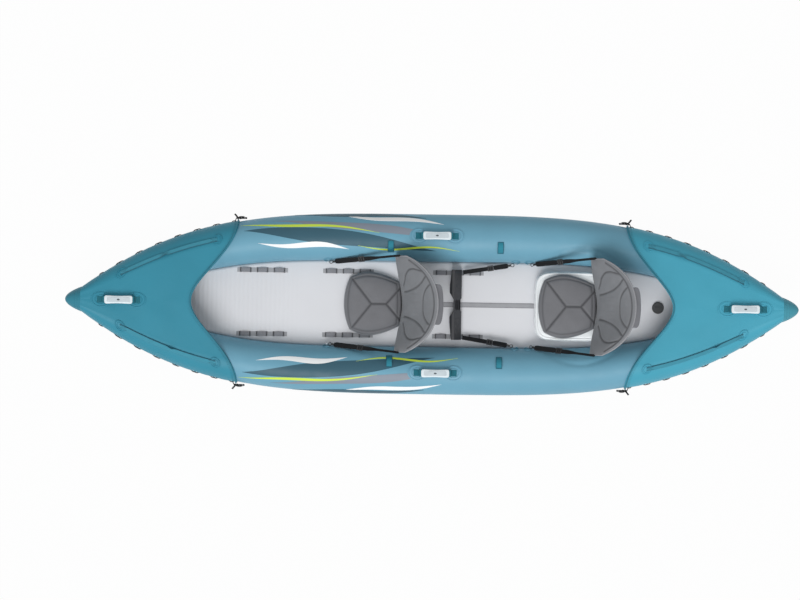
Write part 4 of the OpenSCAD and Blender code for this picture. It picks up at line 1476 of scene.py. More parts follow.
@dataclass
class Covers(Sewn):
    """Spray covers over both ends, with piped edges, sewn hems, eyelets, tip caps and lacing."""

    rows: int = 56
    cols: int = 131
    scallop: float = 0.0014
    drawn_from: float = 9.0
    slack: float = 0.0012
    slack_waves: Floats = (3.1, 0.21)
    flat_width: float = 1.300
    flat_length: float = 0.900
    piping_d: float = 0.008
    seams: Floats = (0.020, 0.026)
    hem_k: float = 12.1
    hem_from: float = 0.03
    hem_to: float = 1.93
    cap_l: float = 0.090
    cap_over: float = 0.002
    cap_tip: float = 0.04
    lace_d: float = 0.005
    lace_gap: float = 0.001
    lace_turns: int = 7
    lace_far: float = 1.870
    lace_tail: float = 0.065
    eyelet_turn: float = 2.0
    eyelet_up: float = 0.0006
    knot_r: float = 0.0046
    zig: Triples = (
        (0, 2, 1), (0.15, -7, 1), (0.36, -26, 0), (0.5, -28, 0), (0.64, -26, 0), (0.85, -7, 1))
    strand: Triples = (
        (0, 0, 0), (0.007, 0.007, 0.003), (0.014, 0.015, 0.003), (0.021, 0.024, 0))
    bight: Triples = (
        (0, 0, 0), (-0.014, 0.0028, 0.003), (-0.034, 0.0042, 0.003), (-0.045, 0.0012, 0.001),
        (-0.036, -0.0022, -0.002), (-0.014, -0.0022, -0.003), (0, 0, 0))

    def build(self) -> None:
        """Builds the covers of both ends."""
        for end in End:
            self._sheet(end)
            self._trim(end)
            self._cap(end)
            for side in Side:
                self._lace(end, side)

    @property
    def pitch(self) -> float:
        """From one turn of the lacing to the next."""
        return (self.lace_far - HULL.corner_x - 5*self.lace_d)/self.lace_turns

    def _sheet(self, end: End) -> None:
        """Stretches one cover over the tubes, drawn in at its eyelets and slack in its middle.

        Args:
            end: Bow or stern.
        """
        k = np.linspace(-HULL.hem_k, HULL.hem_k, self.cols)
        f = np.linspace(0, 1, self.rows)[:, None]
        x = HULL.tube_end + (HULL.cover_edge_x(k) - HULL.tube_end)*(1 - (1 - f)**2)
        m = np.abs(k)
        near = np.clip((m - self.drawn_from)/(HULL.hem_k - self.drawn_from), 0, 1)**2
        drawn = near*np.cos(2*np.pi*(self.lace_far - x)/self.pitch)
        along, across = self.slack_waves
        loose = np.sin(2*np.pi*(x*along + m*across))*np.clip(1 - m/HULL.crest_k, 0, 1)
        wave = self.slack*loose - self.scallop*drawn
        outer, inner = (HULL.cover_point(k, x, off + wave)
                        for off in (HULL.cover_out, HULL.cover_gap))
        cover = Draft().shell(outer*end.flip, inner*end.flip).place(
            f"{end.label}_spray_cover", COVER_FABRICS[end], "cover_fabric", f"{end.label}_cover")

    def _trim(self, end: End) -> None:
        """Lays the piping along the cockpit edge and sews the edge and the hems.

        Args:
            end: Bow or stern.
        """
        k = np.linspace(-HULL.hem_k, HULL.hem_k, 121)
        edge = HULL.cover_edge_x(k)
        piping = HULL.cover_point(k, edge + self.piping_d,
                                  HULL.cover_out + self.piping_d/2 + 2*SEAT_GAP)
        place(self.work.cord(f"{end.label}_piping", [piping*end.flip], self.piping_d, TRIM_FABRIC,
                             sides=12), "cover_trim", f"{end.label}_cover_piping")
        hem = np.linspace(HULL.corner_x + self.hem_from, self.hem_to, 90)
        lines = [(k, edge + back) for back in self.seams]
        lines += [(s*self.hem_k, hem) for s in (-1, 1)]
        rows = [HULL.cover_point(k, x, HULL.cover_out + THREAD_UP)*end.flip for k, x in lines]
        place(self.work.stitches(f"{end.label}_cover_stitches", rows, HEM_STITCH), "cover_fabric")

    def _cap(self, end: End) -> None:
        """Builds the sewn tip cap and the rows of stitches at its rim.

        Args:
            end: Bow or stern.
        """
        shrink = np.concatenate([np.linspace(1, 0.3, 22), np.linspace(0.27, self.cap_tip, 10)])
        shrink = shrink[:, None]
        far = (1 - shrink**2)/(1 - self.cap_tip**2)
        out = HULL.cover_out + self.cap_over
        a = (HULL.half_beam(HULL.tube_end) + out)*shrink
        b = (HULL.tube_b(HULL.tube_end) + out)*shrink**0.7
        turn = np.radians(np.arange(64)*360/64)
        rings = end.flip*xyz(HULL.tube_end + SEAT_GAP + (self.cap_l - SEAT_GAP)*far,
                             a*np.cos(turn), HULL.tube_z(HULL.tube_end) + b*np.sin(turn))
        Draft().loft(rings).place(
            f"{end.label}_cap", CAP_FABRICS[end], "tip_cap", f"{end.label}_tip_cap")
        place(self.work.stitches(f"{end.label}_cap_stitches", rings[[3, 6]], CAP_STITCH,
                                 closed=True), "tip_cap")

    def _lace(self, end: End, side: Side) -> None:
        """Threads one lacing between the hem and the hull, to a knotted tail at the corner.

        Args:
            end: Bow or stern.
            side: Port or starboard.
        """
        name, flip, d = f"{end.label}_{side.label}", end.flip*side.flip, self.lace_d
        bare = d/2 + self.lace_gap
        marks = [HULL.on_tube(self.lace_far - self.pitch*(i + s), turn, bare + HULL.cover_out*over)
                 for i in range(self.lace_turns) for s, turn, over in self.zig]
        last = HULL.on_tube(HULL.corner_x + 5*d, self.eyelet_turn, bare + HULL.cover_out)
        tail = [(0, 0, 0), (-d, 2.2*d, 0.5*d), (-4*d, 3*d, 0.5*d), (-self.lace_tail, 2.4*d, 0)]
        path = smooth([*marks, *(last + np.array(tail))], 6)*flip
        cord = place(self.work.cord(f"{name}_lace", [path], d, LACE_CORD),
                     "lacing_cord", f"{name}_lacing")
        extras = self._knot(name, path[-7], flip)
        tuple(path[0])
        x = self.lace_far - self.pitch*np.arange(self.lace_turns + 1)
        place(self.work.eyelets(
            f"{name}_eyelets",
            HULL.on_tube(x, self.eyelet_turn, HULL.cover_out + self.eyelet_up)*flip,
            HULL.tube_facing(x, self.eyelet_turn)*flip, EYELET_PLASTIC), "cover_trim")

    def _knot(self, name: str, tie: Array, flip: Array) -> list[Object]:
        """Ties the end of a lacing in a knot, with loose strands and bights.

        Args:
            name: The lacing's name.
            tie: Where the knot is.
            flip: Factors that take starboard and stern to the lacing's place.

        Returns:
            The knot and the strands.
        """
        t = np.linspace(0, 2*np.pi, 49)[:-1]
        trefoil = self.knot_r*xyz(
            np.sin(t) + 2*np.sin(2*t), -np.sin(3*t), np.cos(t) - 2*np.cos(2*t))
        strand, bight = smooth(self.strand, 5), smooth(self.bight, 5)
        bundle = [strand, strand + [0.004, -0.002, 0.003], bight,
                  bight*[0.7, -1, 1] + [0, 0.006, 0.004]]
        knot = self.work.cord(f"{name}_knot", [trefoil + tie], self.lace_d, LACE_CORD, closed=True)
        place(knot, "lacing_cord")
        ends = self.work.cord(f"{name}_lace_end", [tie + line*flip for line in bundle],
                              self.lace_d, LACE_CORD)
        return [knot, place(ends, "lacing_cord")]


@dataclass
class DeckStraps(Sewn):
    """Flat webbing along the covers, over the crest of each tube."""

    near: float = 1.210
    far: float = 1.745
    turn: float = 72.0
    width: float = 0.022
    edge_d: float = 0.004
    patch_t: float = 0.0015
    arch: float = 0.002
    fold: float = 38.0
    fold_l: float = 0.035
    fold_up: float = 0.007
    fold_at: Pairs = ((0.46, 0.54), (0.72, 0.35))
    seam_half: float = 0.008
    seam_steps: int = 5

    def build(self) -> None:
        """Builds the four straps and sews down their ends."""
        turn = math.radians(self.turn)
        lean = np.array([0, math.sin(turn), -math.cos(turn)])
        t = np.linspace(0, 1, 60)
        x = self.near + (self.far - self.near)*t
        up = HULL.tube_facing(x, self.turn)
        lies = (HULL.cover_out + FACET_GAP + self.patch_t + 2*SEAT_GAP + WEB_T/2
                + self.arch*np.sin(np.pi*t))
        rows, edges = [], []
        for end, folds in zip(End, self.fold_at):
            for side, fold in zip(Side, folds):
                name, flip = f"{end.label}_{side.label}", end.flip*side.flip
                bent = bell((t - fold)/self.fold_l)
                path = HULL.on_tube(x, self.turn, lies + self.fold_up*bent)
                tilt = math.radians(self.fold)*bent[:, None]
                sides = lean*np.cos(tilt) - up*np.sin(tilt)
                Draft().sweep(path*flip, sides*flip, web_section(self.width, WEB_T)).place(
                    f"{name}_deck_webbing", DECK_WEB, "teal_webbing", f"{name}_deck_strap")
                edges.append((path - sides*self.width/2)*flip)
                top = path + up*(WEB_T/2 + THREAD_UP)
                for sewn in (top[:self.seam_steps], top[-self.seam_steps:]):
                    a, b = (sewn + lean*y for y in (-self.seam_half, self.seam_half))
                    rows += [row*flip for row in (a, b, np.stack([a[0], b[-1]]),
                                                  np.stack([b[0], a[-1]]))]
        place(self.work.stitches("deck_strap_stitches", rows, TEAL_STITCH), "teal_webbing")
        # The dark cord along each strap's inboard edge is painted shadow.
        place(self.work.cord("deck_strap_edges", edges, self.edge_d, PAINTED_SHADOW_CORD), "teal_webbing")


@dataclass(frozen=True)
class Spot:
    """A place on the hull: its origin, and its axes as rows: along, across and up."""

    origin: Array
    axes: Array

    def put(self, points: Array) -> Array:
        """Takes points from the place's own axes to the hull's."""
        return self.origin + points @ self.axes


@dataclass
class Handles(Sewn):
    """Four carrying handles: a moulded grip on webbing that rises from two patches."""

    span: float = 0.241
    patch_d: float = 0.076
    patch_t: float = 0.0015
    web_w: float = 0.036
    grip_l: float = 0.157
    grip_w: float = 0.046
    grip_h: float = 0.015
    waist: float = 0.002
    finger_gap: float = 0.018
    end_x: float = 1.755
    side_x: float = 0.024
    side_turn: float = 86.0
    seam_half: float = 0.013
    panel: Floats = (0.128, 0.030)
    inlay: Floats = (0.017, 0.010)
    plate: Pairs = (
        (1.0, -0.003), (1.0, 0.0001), (0.97, 0.0004), (0.9, 0.0006), (0.7, 0.0007),
        (0.4, 0.0008), (0.05, 0.0008))

    @property
    def mid(self) -> float:
        """Height of a grip's middle."""
        return self.finger_gap + self.grip_h/2

    def spots(self) -> dict[str, Spot]:
        """Places of the handles.

        Returns:
            The places by name.
        """
        half = self.span/2
        rise = HULL.deck_z(self.end_x + half) - HULL.deck_z(self.end_x - half)
        slope = math.atan2(rise, self.span)
        found = {}
        for end in End:
            up = np.array([-end.value*math.sin(slope), 0, math.cos(slope)])
            along = np.array([math.cos(slope), 0, end.value*math.sin(slope)])
            origin = np.array([end.value*self.end_x, 0, HULL.deck_z(self.end_x) + FACET_GAP])
            found[end.label] = Spot(origin, np.stack([along, np.cross(up, along), up]))
        turn = math.radians(self.side_turn)
        for side in Side:
            up = np.array([0, side.value*math.cos(turn), math.sin(turn)])
            origin = HULL.on_tube(self.side_x, self.side_turn, 2*SEAT_GAP, side.value)
            found[side.label] = Spot(origin, np.stack([X_AXIS, np.cross(up, X_AXIS), up]))
        return found

    def build(self) -> None:
        """Builds the four handles."""
        for name, spot in self.spots().items():
            self._grip(name, spot)
            self._strap(name, spot)

    def _grip(self, name: str, spot: Spot) -> None:
        """Moulds a grip with a waist and rounded edges, a panel on it and an oval inlay.

        Args:
            name: The handle's name.
            spot: Its place.
        """
        half, r = self.grip_l/2, self.grip_w/4
        x = half*eased(61)[:, None]
        edge = np.clip(np.abs(x) - (half - r), 0, r)
        wide = (self.grip_w/2 - r + np.sqrt(np.maximum(r*r - edge*edge, 1e-9))
                - self.waist*np.cos(np.pi*x/self.grip_l)**2)
        thin = self.grip_h/2*(1 - 0.35*(np.abs(x)/half)**8)
        y, z = pad_section(2.0, 2.0, 40, 4.5).T
        body = f"{name}_handle"
        Draft().loft(spot.put(xyz(x, wide*y, self.mid + thin*z))).place(
            f"{name}_grip", GRIP_PLASTIC, "grip", f"{name}_handle_grip", on=body)
        share, high = np.array(self.plate).T[..., None]
        for part, finish, outline, lift in (
                ("panel", PANEL_PLASTIC, pad_section(*self.panel, 48, 7.0), 1.0),
                ("inlay", INLAY_PLASTIC, pad_section(*self.inlay, 32, 2.0), 2.2)):
            x, y = outline.T
            plate = xyz(share*x, share*y, self.finger_gap + self.grip_h + lift*high)
            Draft().loft(spot.put(plate)).place(f"{name}_grip_{part}", finish, "grip", on=body)

    def _strap(self, name: str, spot: Spot) -> None:
        """Lays the webbing from patch to patch through the grip, and sews it to the patches.

        Args:
            name: The handle's name.
            spot: Its place.
        """
        flat, low = self.span/2, self.patch_t + SEAT_GAP + WEB_T/2
        knee, straight = flat - self.patch_d/2, self.grip_l/2 + 0.004
        arm = [(flat, low), (flat - 0.012, low), (knee + 0.008, low),
               ((knee + straight)/2 + 0.004, (low + self.mid)/2), (straight, self.mid),
               (0.03, self.mid)]
        marks = [(-x, 0, z) for x, z in arm] + [(x, 0, z) for x, z in arm[::-1]]
        bend = Bend(("hull", f"{name}_handle"), spot.put(Z_AXIS*(low + 0.001)),
                    spot.put(Z_AXIS*(self.mid - 0.002)))
        path = spot.put(smooth(marks, 5))
        Draft().sweep(path, spot.axes[1], web_section(self.web_w, WEB_T)).place(
            f"{name}_handle_webbing", HANDLE_WEB, "teal_webbing", f"{name}_handle_strap", on=bend)
        rows, half = [], self.seam_half
        for s in (-1, 1):
            far, near = s*(flat - 0.003), s*(knee + 0.012)
            box = xyz([far, far, near, near, far, near], [-half, half, half, -half, -half, half],
                      low + WEB_T/2 + THREAD_UP)
            rows.append(spot.put(box))
        place(self.work.stitches(f"{name}_handle_stitches", rows, TEAL_STITCH), "teal_webbing")


@dataclass
class Patches:
    """Round patches, welded on and embossed with rings, and the tabs that hold the anchor rings."""

    thick: float = 0.0015
    emboss: float = 0.0024
    embossed: tuple[int, ...] = (4, 5, 9, 10)
    shares: Floats = (
        1.0, 0.985, 0.95, 0.91, 0.88, 0.84, 0.81, 0.77, 0.62, 0.58, 0.55, 0.51, 0.3, 0.03)
    deck_d: float = 0.060
    ring_d: float = 0.052
    handle_l: float = 0.112
    handle_w: float = 0.090
    handle_at: float = 0.100
    tab_w: float = 0.018

    def _disc(self) -> tuple[Array, Array, Array]:
        """A patch laid flat.

        Returns:
            Shares of its radius, turns, and heights over its underside.
        """
        lift = np.full((len(self.shares), 1), self.thick)
        lift[:2, 0] *= (0.2, 0.8)
        lift[list(self.embossed)] += self.emboss
        return np.array(self.shares)[:, None], np.radians(np.arange(40)*9), lift

    def on_deck(self, x: float) -> Array:
        """An oval handle patch on the middle of the stern cover.

        Args:
            x: Its station.

        Returns:
            Its rings.
        """
        share, around, lift = self._disc()
        along = x + self.handle_l/2*share*np.cos(around)
        k = 2*self.handle_w*share*np.sin(around)/HULL.tube_y(along)
        off = HULL.cover_out + FACET_GAP
        return np.concatenate([HULL.cover_point(k[:1], along[:1], off),
                               HULL.cover_point(k, along, off + lift)])

    def on_tube(self, x: float, turn: float, off: float, length: float, width: float) -> Array:
        """A patch on the starboard tube, or on the cover over it.

        Args:
            x: Its station.
            turn: Its turn round the tube, in degrees.
            off: Height of its underside over the tube.
            length: Its length.
            width: Its width.

        Returns:
            Its rings.
        """
        share, around, lift = self._disc()
        along = x + length/2*share*np.cos(around)
        swing = turn + np.degrees(width/2*share*np.sin(around)/HULL.tube_a(x))
        return np.concatenate([HULL.on_tube(along[:1], swing[:1], off),
                               HULL.on_tube(along, swing, off + lift)])

    def build(self, handles: Handles, straps: DeckStraps, rig: "Rigging") -> None:
        """Builds the patches of the covers and those of the tubes.

        Args:
            handles: The handles they hold.
            straps: The deck straps they hold.
            rig: The straps whose rings they hold.
        """
        for end in End:
            on_cover = Draft()
            for s in (-1, 1):
                on_cover.loft(self.on_deck(handles.end_x + s*self.handle_at)*end.flip)
            for side in Side:
                for x in (straps.near, straps.far):
                    on_cover.loft(end.flip*side.flip*self.on_tube(
                        x, straps.turn, HULL.cover_out + FACET_GAP, self.deck_d, self.deck_d))
            on_cover.place(f"{end.label}_cover_patches", COVER_FABRICS[end], "welded_patch",
                           "welded_patches")
        on_tubes, tabs = Draft(), Draft()
        for side in Side:
            for s in (-1, 1):
                on_tubes.loft(side.flip*self.on_tube(
                    handles.side_x + s*self.handle_at, handles.side_turn, 2*SEAT_GAP,
                    self.handle_l, self.handle_w))
            for ring, hold in rig.sets():
                on_tubes.loft(side.flip*self.on_tube(
                    ring[0], rig.ring_turn, 4*SEAT_GAP, self.ring_d, self.ring_d))
                pull = unit(hold - ring)
                heel = HULL.on_tube(ring[0] - np.sign(pull[0])*self.ring_d/2.4, rig.ring_turn,
                                    self.thick + WEB_T/2 + 6*SEAT_GAP)
                toe = ring - pull*(rig.ring_wire/2 + WEB_T/2 + 5*SEAT_GAP)
                tabs.sweep((heel + (toe - heel)*np.linspace(0, 1, 7)[:, None])*side.flip, Z_AXIS,
                           web_section(self.tab_w, WEB_T))
        on_tubes.place("tube_patches", TUBE_FABRIC, "welded_patch", "welded_patches")
        tabs.place("ring_tabs", TEAL_WEB, "teal_webbing", "welded_patches")


@dataclass
class GearLoops(Sewn):
    """Loops of webbing on the inner shoulders of the tubes."""

    xs: Floats = (-0.235, 0.381)
    from_turn: float = 98.0
    to_turn: float = 129.0
    height: float = 0.009
    width: float = 0.034
    edge_d: float = 0.0036
    edge_in: float = 0.0012
    seams: Floats = (0.02, 0.98, 0.07, 0.93)
    seam_half: float = 0.014

    def build(self) -> None:
        """Builds the loops and sews down their feet."""
        draft, rows, rims = Draft(), [], []
        t = np.linspace(0, 1, 33)
        turn, feet = (self.from_turn + (self.to_turn - self.from_turn)*share
                      for share in (t, np.array(self.seams)))
        low = 2*SEAT_GAP + WEB_T/2
        lift = low + self.height*np.sin(np.pi*np.clip((t - 0.1)/0.8, 0, 1))**0.8
        edge, seam = X_AXIS*(self.width/2 - self.edge_in), X_AXIS*self.seam_half
        for side in Side:
            for x in self.xs:
                draft.sweep(HULL.on_tube(x, turn, lift, side.value), X_AXIS,
                            web_section(self.width, WEB_T))
                rim = HULL.on_tube(x, turn, lift + WEB_T/2, side.value)[1:-1]
                rims.append(np.concatenate([rim + edge, rim[::-1] - edge]))
                for at in HULL.on_tube(x, feet, low + WEB_T/2 + THREAD_UP, side.value):
                    rows.append(np.stack([at - seam, at + seam]))
        draft.place("gear_loop_webbing", TEAL_WEB, "teal_webbing", "gear_loops")
        place(self.work.stitches("gear_loop_stitches", rows, TEAL_STITCH), "teal_webbing")
        # The dark cords round the loops' rims are painted shadow.
        place(self.work.cord("gear_loop_edges", rims, self.edge_d, PAINTED_SHADOW_CORD, closed=True),
              "teal_webbing")


@dataclass
class Seats(Sewn):
    """Two seats: a channelled base, a backrest that wraps round, a hinge flap and a bag behind."""

    places: tuple[tuple[str, float, float], ...] = (
        ("front", -0.171, 0.1329), ("rear", 0.923, 0.1989))
    length: float = 0.322
    width: float = 0.360
    height: float = 0.055
    edge: float = 0.016
    under: float = 0.97
    border: float = 0.88
    channel: float = 0.010
    seam_w: float = 0.0066
    depth: float = 0.007
    welt_d: float = 0.006
    hinge_back: float = 0.008
    hinge_up: float = 0.034
    back_h: float = 0.390
    back_w: float = 0.580
    back_t: float = 0.044
    rim_t: float = 0.003
    top_round: float = 0.080
    top_drop: float = 0.110
    low_from: float = 0.4
    low_rise: float = 0.080
    wrap: float = 0.420
    recline: float = 30.0
    petal: tuple[Pairs, ...] = (
        ((0.110, 0.059), (0.148, 0.094), (0.175, 0.117), (0.206, 0.169), (0.215, 0.224),
         (0.206, 0.275), (0.198, 0.303)),
        ((0.072, 0.058), (0.080, 0.115), (0.101, 0.201), (0.131, 0.270), (0.158, 0.312),
         (0.166, 0.325)))
    crescent_w: float = 0.117
    crescent_from: float = 0.256
    crescent_to: float = 0.346
    band: float = 0.022
    binding_d: float = 0.0075
    wing_seams: Floats = (0.012, 0.022)
    wing_low: float = 0.080
    wing_high: float = 0.008
    slack: float = 0.85
    pressure: float = 4.0
    hold: float = 1.6
    puff_cap: float = 0.006
    puff_steps: int = 20
    flap_w: float = 0.220
    flap_t: float = 0.0015
    bag_w: float = 0.212
    bag_low: float = 0.160
    bag_h: float = 0.215
    bag_t: float = 0.034
    bag_sag: float = 0.10
    zip_at: float = 0.62
    zip_l: float = 0.8
    forks: tuple[Pairs, ...] = (
        ((-0.05, 0), (0.47, 0)), ((-0.05, 0), (-0.72, 0.76)), ((-0.05, 0), (-0.72, -0.76)),
        ((0.47, 0), (0.98, 0.52)), ((0.47, 0), (0.98, -0.52)))

    def hinge(self, rear_x: float, z: float) -> Array:
        """Where a backrest folds, from the rear edge of its seat."""
        return np.array([rear_x + self.hinge_back, 0, z + self.hinge_up])

    def build(self) -> None:
        """Builds both seats; their cushions are the same, so each form is made once."""
        base = self._form(self._base_grid, (44, 40), (120, 130))
        back = self._form(self._back_grid, (44, 76), (120, 190))
        for name, rear_x, z in self.places:
            hinge = self.hinge(rear_x, z)
            self._base(name, base, np.array([rear_x - self.length/2, 0, z]))
            self._back(name, back, hinge)
            self._flap(name, hinge)
            self._pouch(name, hinge)

    @staticmethod
    def _far(u: Array, v: Array, lines: Sequence[Array]) -> Array:
        """Distances of a grid of points from the nearest of some lines.

        Args:
            u: First coordinates of the grid.
            v: Second ones.
            lines: The lines.

        Returns:
            The distances, in the grid's shape.
        """
        x, y = np.concatenate(lines).T
        return np.stack([np.hypot(a[:, None] - x, b[:, None] - y).min(1) for a, b in zip(u, v)])

    def base_seams(self) -> list[Array]:
        """Sewn lines of a seat base.

        Returns:
            Points of each, along and across the base from its middle.
        """
        t = np.linspace(0, 1, 60)[:, None]
        half = np.array([self.length, self.width])/2
        return [(a + (b - a)*t)*half for a, b in np.array(self.forks)]

    def back_seams(self) -> list[Array]:
        """Sewn lines of a backrest: two round each petal, a crescent and an edge band.

        Returns:
            Points of each, round the backrest and up it.
        """
        lines = [smooth(line, 10)*side.flip[1:] for line in self.petal for side in Side]
        u = np.linspace(-1, 1, 70)
        rise = (self.crescent_to - self.crescent_from)*np.abs(u)**2.6
        s = np.linspace(-0.93, 0.93, 160)
        return lines + [np.stack([self.crescent_w*u, self.crescent_from + rise], -1),
                        np.stack([s*self.back_w/2, self.back_top(np.abs(s)) - self.band], -1)]

    def _base_grid(self, rows: int, cols: int, width: float) -> Cushion:
        """A seat base about its own middle.

        Args:
            rows: Steps along it.
            cols: Steps across it.
            width: Width of its channels.

        Returns:
            Its top, its underside and its seam marks.
        """
        p, q = eased(rows)[:, None], eased(cols)
        square = 0.25 - 0.11*np.tanh(4*p)
        px, qy = p*np.sqrt(1 - square*q*q), q*np.sqrt(1 - square*p*p)
        x = self.length/2*px
        y = self.width/2*(1 - 0.3*np.clip((px + 0.4)/1.4, 0, None)**2)*qy
        rim = np.maximum(np.abs(p), np.abs(q))
        seam = np.maximum(0.6*bell((rim - self.border)*self.length/2/width),
                          bell(self._far(x, y, self.base_seams())/width))
        dome = np.sqrt(np.clip((1 - np.abs(p)**5)*(1 - np.abs(q)**5), 0, None))
        top = (self.edge + (self.height - self.edge)*dome
               - self.depth*seam*np.minimum(1, 2*dome))
        # The seam marks returned here set the painted shade along the channels and round the rim.
        return xyz(x, y, top), xyz(self.under*x, self.under*y, 0), seam*np.minimum(1, 3*dome)

    def back_top(self, n: Array) -> Array:
        """Upper edge of a backrest at a share of its half width."""
        return self.back_h - self.top_round*n*n - self.top_drop*n**4

    def back_low(self, n: Array) -> Array:
        """Lower edge of a backrest at a share of its half width."""
        return self.low_rise*np.clip((n - self.low_from)/(1 - self.low_from), 0, None)**2

    def back_v(self, n: Array, f: Array) -> Array:
        """Lengths up a backrest's slope, at shares of its half width and of its height there."""
        return self.back_low(n) + (self.back_top(n) - self.back_low(n))*f

    def back_f(self, n: Array, v: Array) -> Array:
        """Shares of a backrest's height, at shares of its half width and lengths up its slope."""
        return (v - self.back_low(n))/(self.back_top(n) - self.back_low(n))

    def back_point(self, u: Array, v: Array, n: Array) -> Array:
        """Points of a backrest about its hinge.

        Args:
            u: Lengths round its curve.
            v: Lengths up its slope.
            n: Heights in front of its middle surface.

        Returns:
            The points.
        """
        lean, turn = math.radians(self.recline), u/self.wrap
        fore = self.wrap - (self.wrap - n)*np.cos(turn)
        return xyz(v*math.sin(lean) - fore*math.cos(lean), (self.wrap - n)*np.sin(turn),
                   v*math.cos(lean) + fore*math.sin(lean))

    @staticmethod
    def back_full(n: Array, f: Array) -> Array:
        """How full a backrest is at shares of its half width and height: 0 at its rim, then 1."""
        return np.sqrt(np.clip((1 - n**6)*(1 - np.abs(2*f - 1)**5), 0, None))

    def back_half(self, n: Array, f: Array, seam: Array = 0.0) -> Array:
        """Half the thickness of a backrest.

        Args:
            n: Shares of its half width.
            f: Shares of its height.
            seam: Seam marks.

        Returns:
            The half thickness.
        """
        stuffed = (self.back_t - self.rim_t)*self.back_full(n, f)*(1 - 0.3*seam)
        return (self.rim_t + stuffed)/2

    def _back_grid(self, rows: int, cols: int, width: float) -> Cushion:
        """A backrest about its hinge.

        Args:
            rows: Steps up it.
            cols: Steps round it.
            width: Width of its seams.

        Returns:
            Its front, its back and its seam marks.
        """
        f = ((1 - np.cos(np.linspace(0, np.pi, rows)))/2)[:, None]
        s = eased(cols)
        n = np.abs(s)
        v = self.back_v(n, f)
        u = np.broadcast_to(s*self.back_w/2, v.shape)
        seam = bell(self._far(u, v, self.back_seams())/width)
        # The seam marks returned here set the painted shade along the seams.
        return (self.back_point(u, v, self.back_half(n, f, seam)),
                self.back_point(u, v, -self.back_half(n, f)*self.slack),
                seam*np.minimum(1, 2*self.back_full(n, f)))

    def _puff(self, top: Array, under: Array, held: Array) -> Array:
        """Swells a cushion by a cloth simulation with air in it.

        Args:
            top: Grid of its top.
            under: Grid of its underside, which doesn't move.
            held: How firmly each point of the top is sewn down, from 0 to 1.

        Returns:
            How far each point of the top moved.
        """
        pad = Draft().shell(top, under).build("pad_in_work", BASE_CLOTH, sharp=38.0)
        group = pad.vertex_groups.new(name="sewn")
        for i, weight in enumerate([*held.ravel(), *np.ones(held.size)]):
            group.add([i], float(weight), "REPLACE")
        cloth = pad.modifiers.new("air", "CLOTH")
        cloth.settings.use_pressure = True
        cloth.settings.uniform_pressure_force = self.pressure
        cloth.settings.vertex_group_mass = "sewn"
        cloth.settings.effector_weights.gravity = 0.0
        cloth.point_cache.frame_start, cloth.point_cache.frame_end = 1, self.puff_steps
        scene = bpy.context.scene
        for step in range(1, self.puff_steps + 1):
            scene.frame_set(step)
        done = pad.evaluated_get(bpy.context.evaluated_depsgraph_get()).data
        moved = np.empty(len(done.vertices)*3, np.float32)
        done.vertices.foreach_get("co", moved)
        move = moved[:top.size].reshape(top.shape) - top
        far = np.linalg.norm(move, axis=-1, keepdims=True)
        pad.modifiers.remove(cloth)
        bpy.data.objects.remove(pad)
        scene.frame_set(1)
        LOG.info("a cushion swelled by %.1f mm", 1000*float(far.max()))
        return move*np.minimum(1, self.puff_cap/np.maximum(far, 1e-9))

    def _form(self, grid: Callable[[int, int, float], Cushion], coarse: tuple[int, int],
              fine: tuple[int, int]) -> Cushion:
        """Makes a cushion's form: swollen between its seams on a coarse grid, drawn on a fine one.

        Args:
            grid: The function that gives its top, its underside and its seam marks.
            coarse: Rows and columns of the grid that swells.
            fine: Rows and columns of the result.

        Returns:
            The fine top, underside and seam marks.
        """
        top, under, seam = grid(*coarse, self.channel)
        held = np.clip(seam*self.hold, 0, 1)
        held[[0, 1, -1, -2]] = 1
        held[:, [0, 1, -1, -2]] = 1
        move = self._puff(top, under, held)
        for axis, shape in ((0, (-1, 1, 1)), (1, (1, -1, 1))):
            at = np.linspace(0, coarse[axis] - 1, fine[axis])
            low = np.minimum(at.astype(int), coarse[axis] - 2)
            share = (at - low).reshape(shape)
            move = np.take(move, low, axis)*(1 - share) + np.take(move, low + 1, axis)*share
        top, under, seam = grid(*fine, self.seam_w)
        return top + move, under, seam

    def _base(self, name: str, form: Cushion, at: Array) -> None:
        """Builds a seat base with its welt and the stitches in its channels.

        Args:
            name: The seat's name.
            form: Its form.
            at: Its middle.
        """
        top, under, seam = form
        base = Draft().shell(top + at, under + at, seam).place(
            f"{name}_seat_cushion", BASE_CLOTH, "seat_fabric", f"{name}_seat_base", sharp=60)
        rim = np.concatenate([top[0, :-1], top[:-1, -1], top[-1, :0:-1], top[:0:-1, 0]])
        welt = rim*[1, 1, 0] + Z_AXIS*self.edge*0.6 + at
        place(self.work.cord(f"{name}_seat_welt", [welt], self.welt_d, BINDING, closed=True),
              "seat_fabric")
        flat = top.reshape(-1, 3)
        rows = []
        for line in (seam[1:-1:2] for seam in self.base_seams()):
            near = [flat[np.argmin(((flat[:, :2] - p)**2).sum(1)), 2] for p in line]
            rows.append(np.column_stack([line, near]) + at)
        place(self.work.stitches(f"{name}_seat_stitches", rows, DARK_STITCH), "seat_fabric")

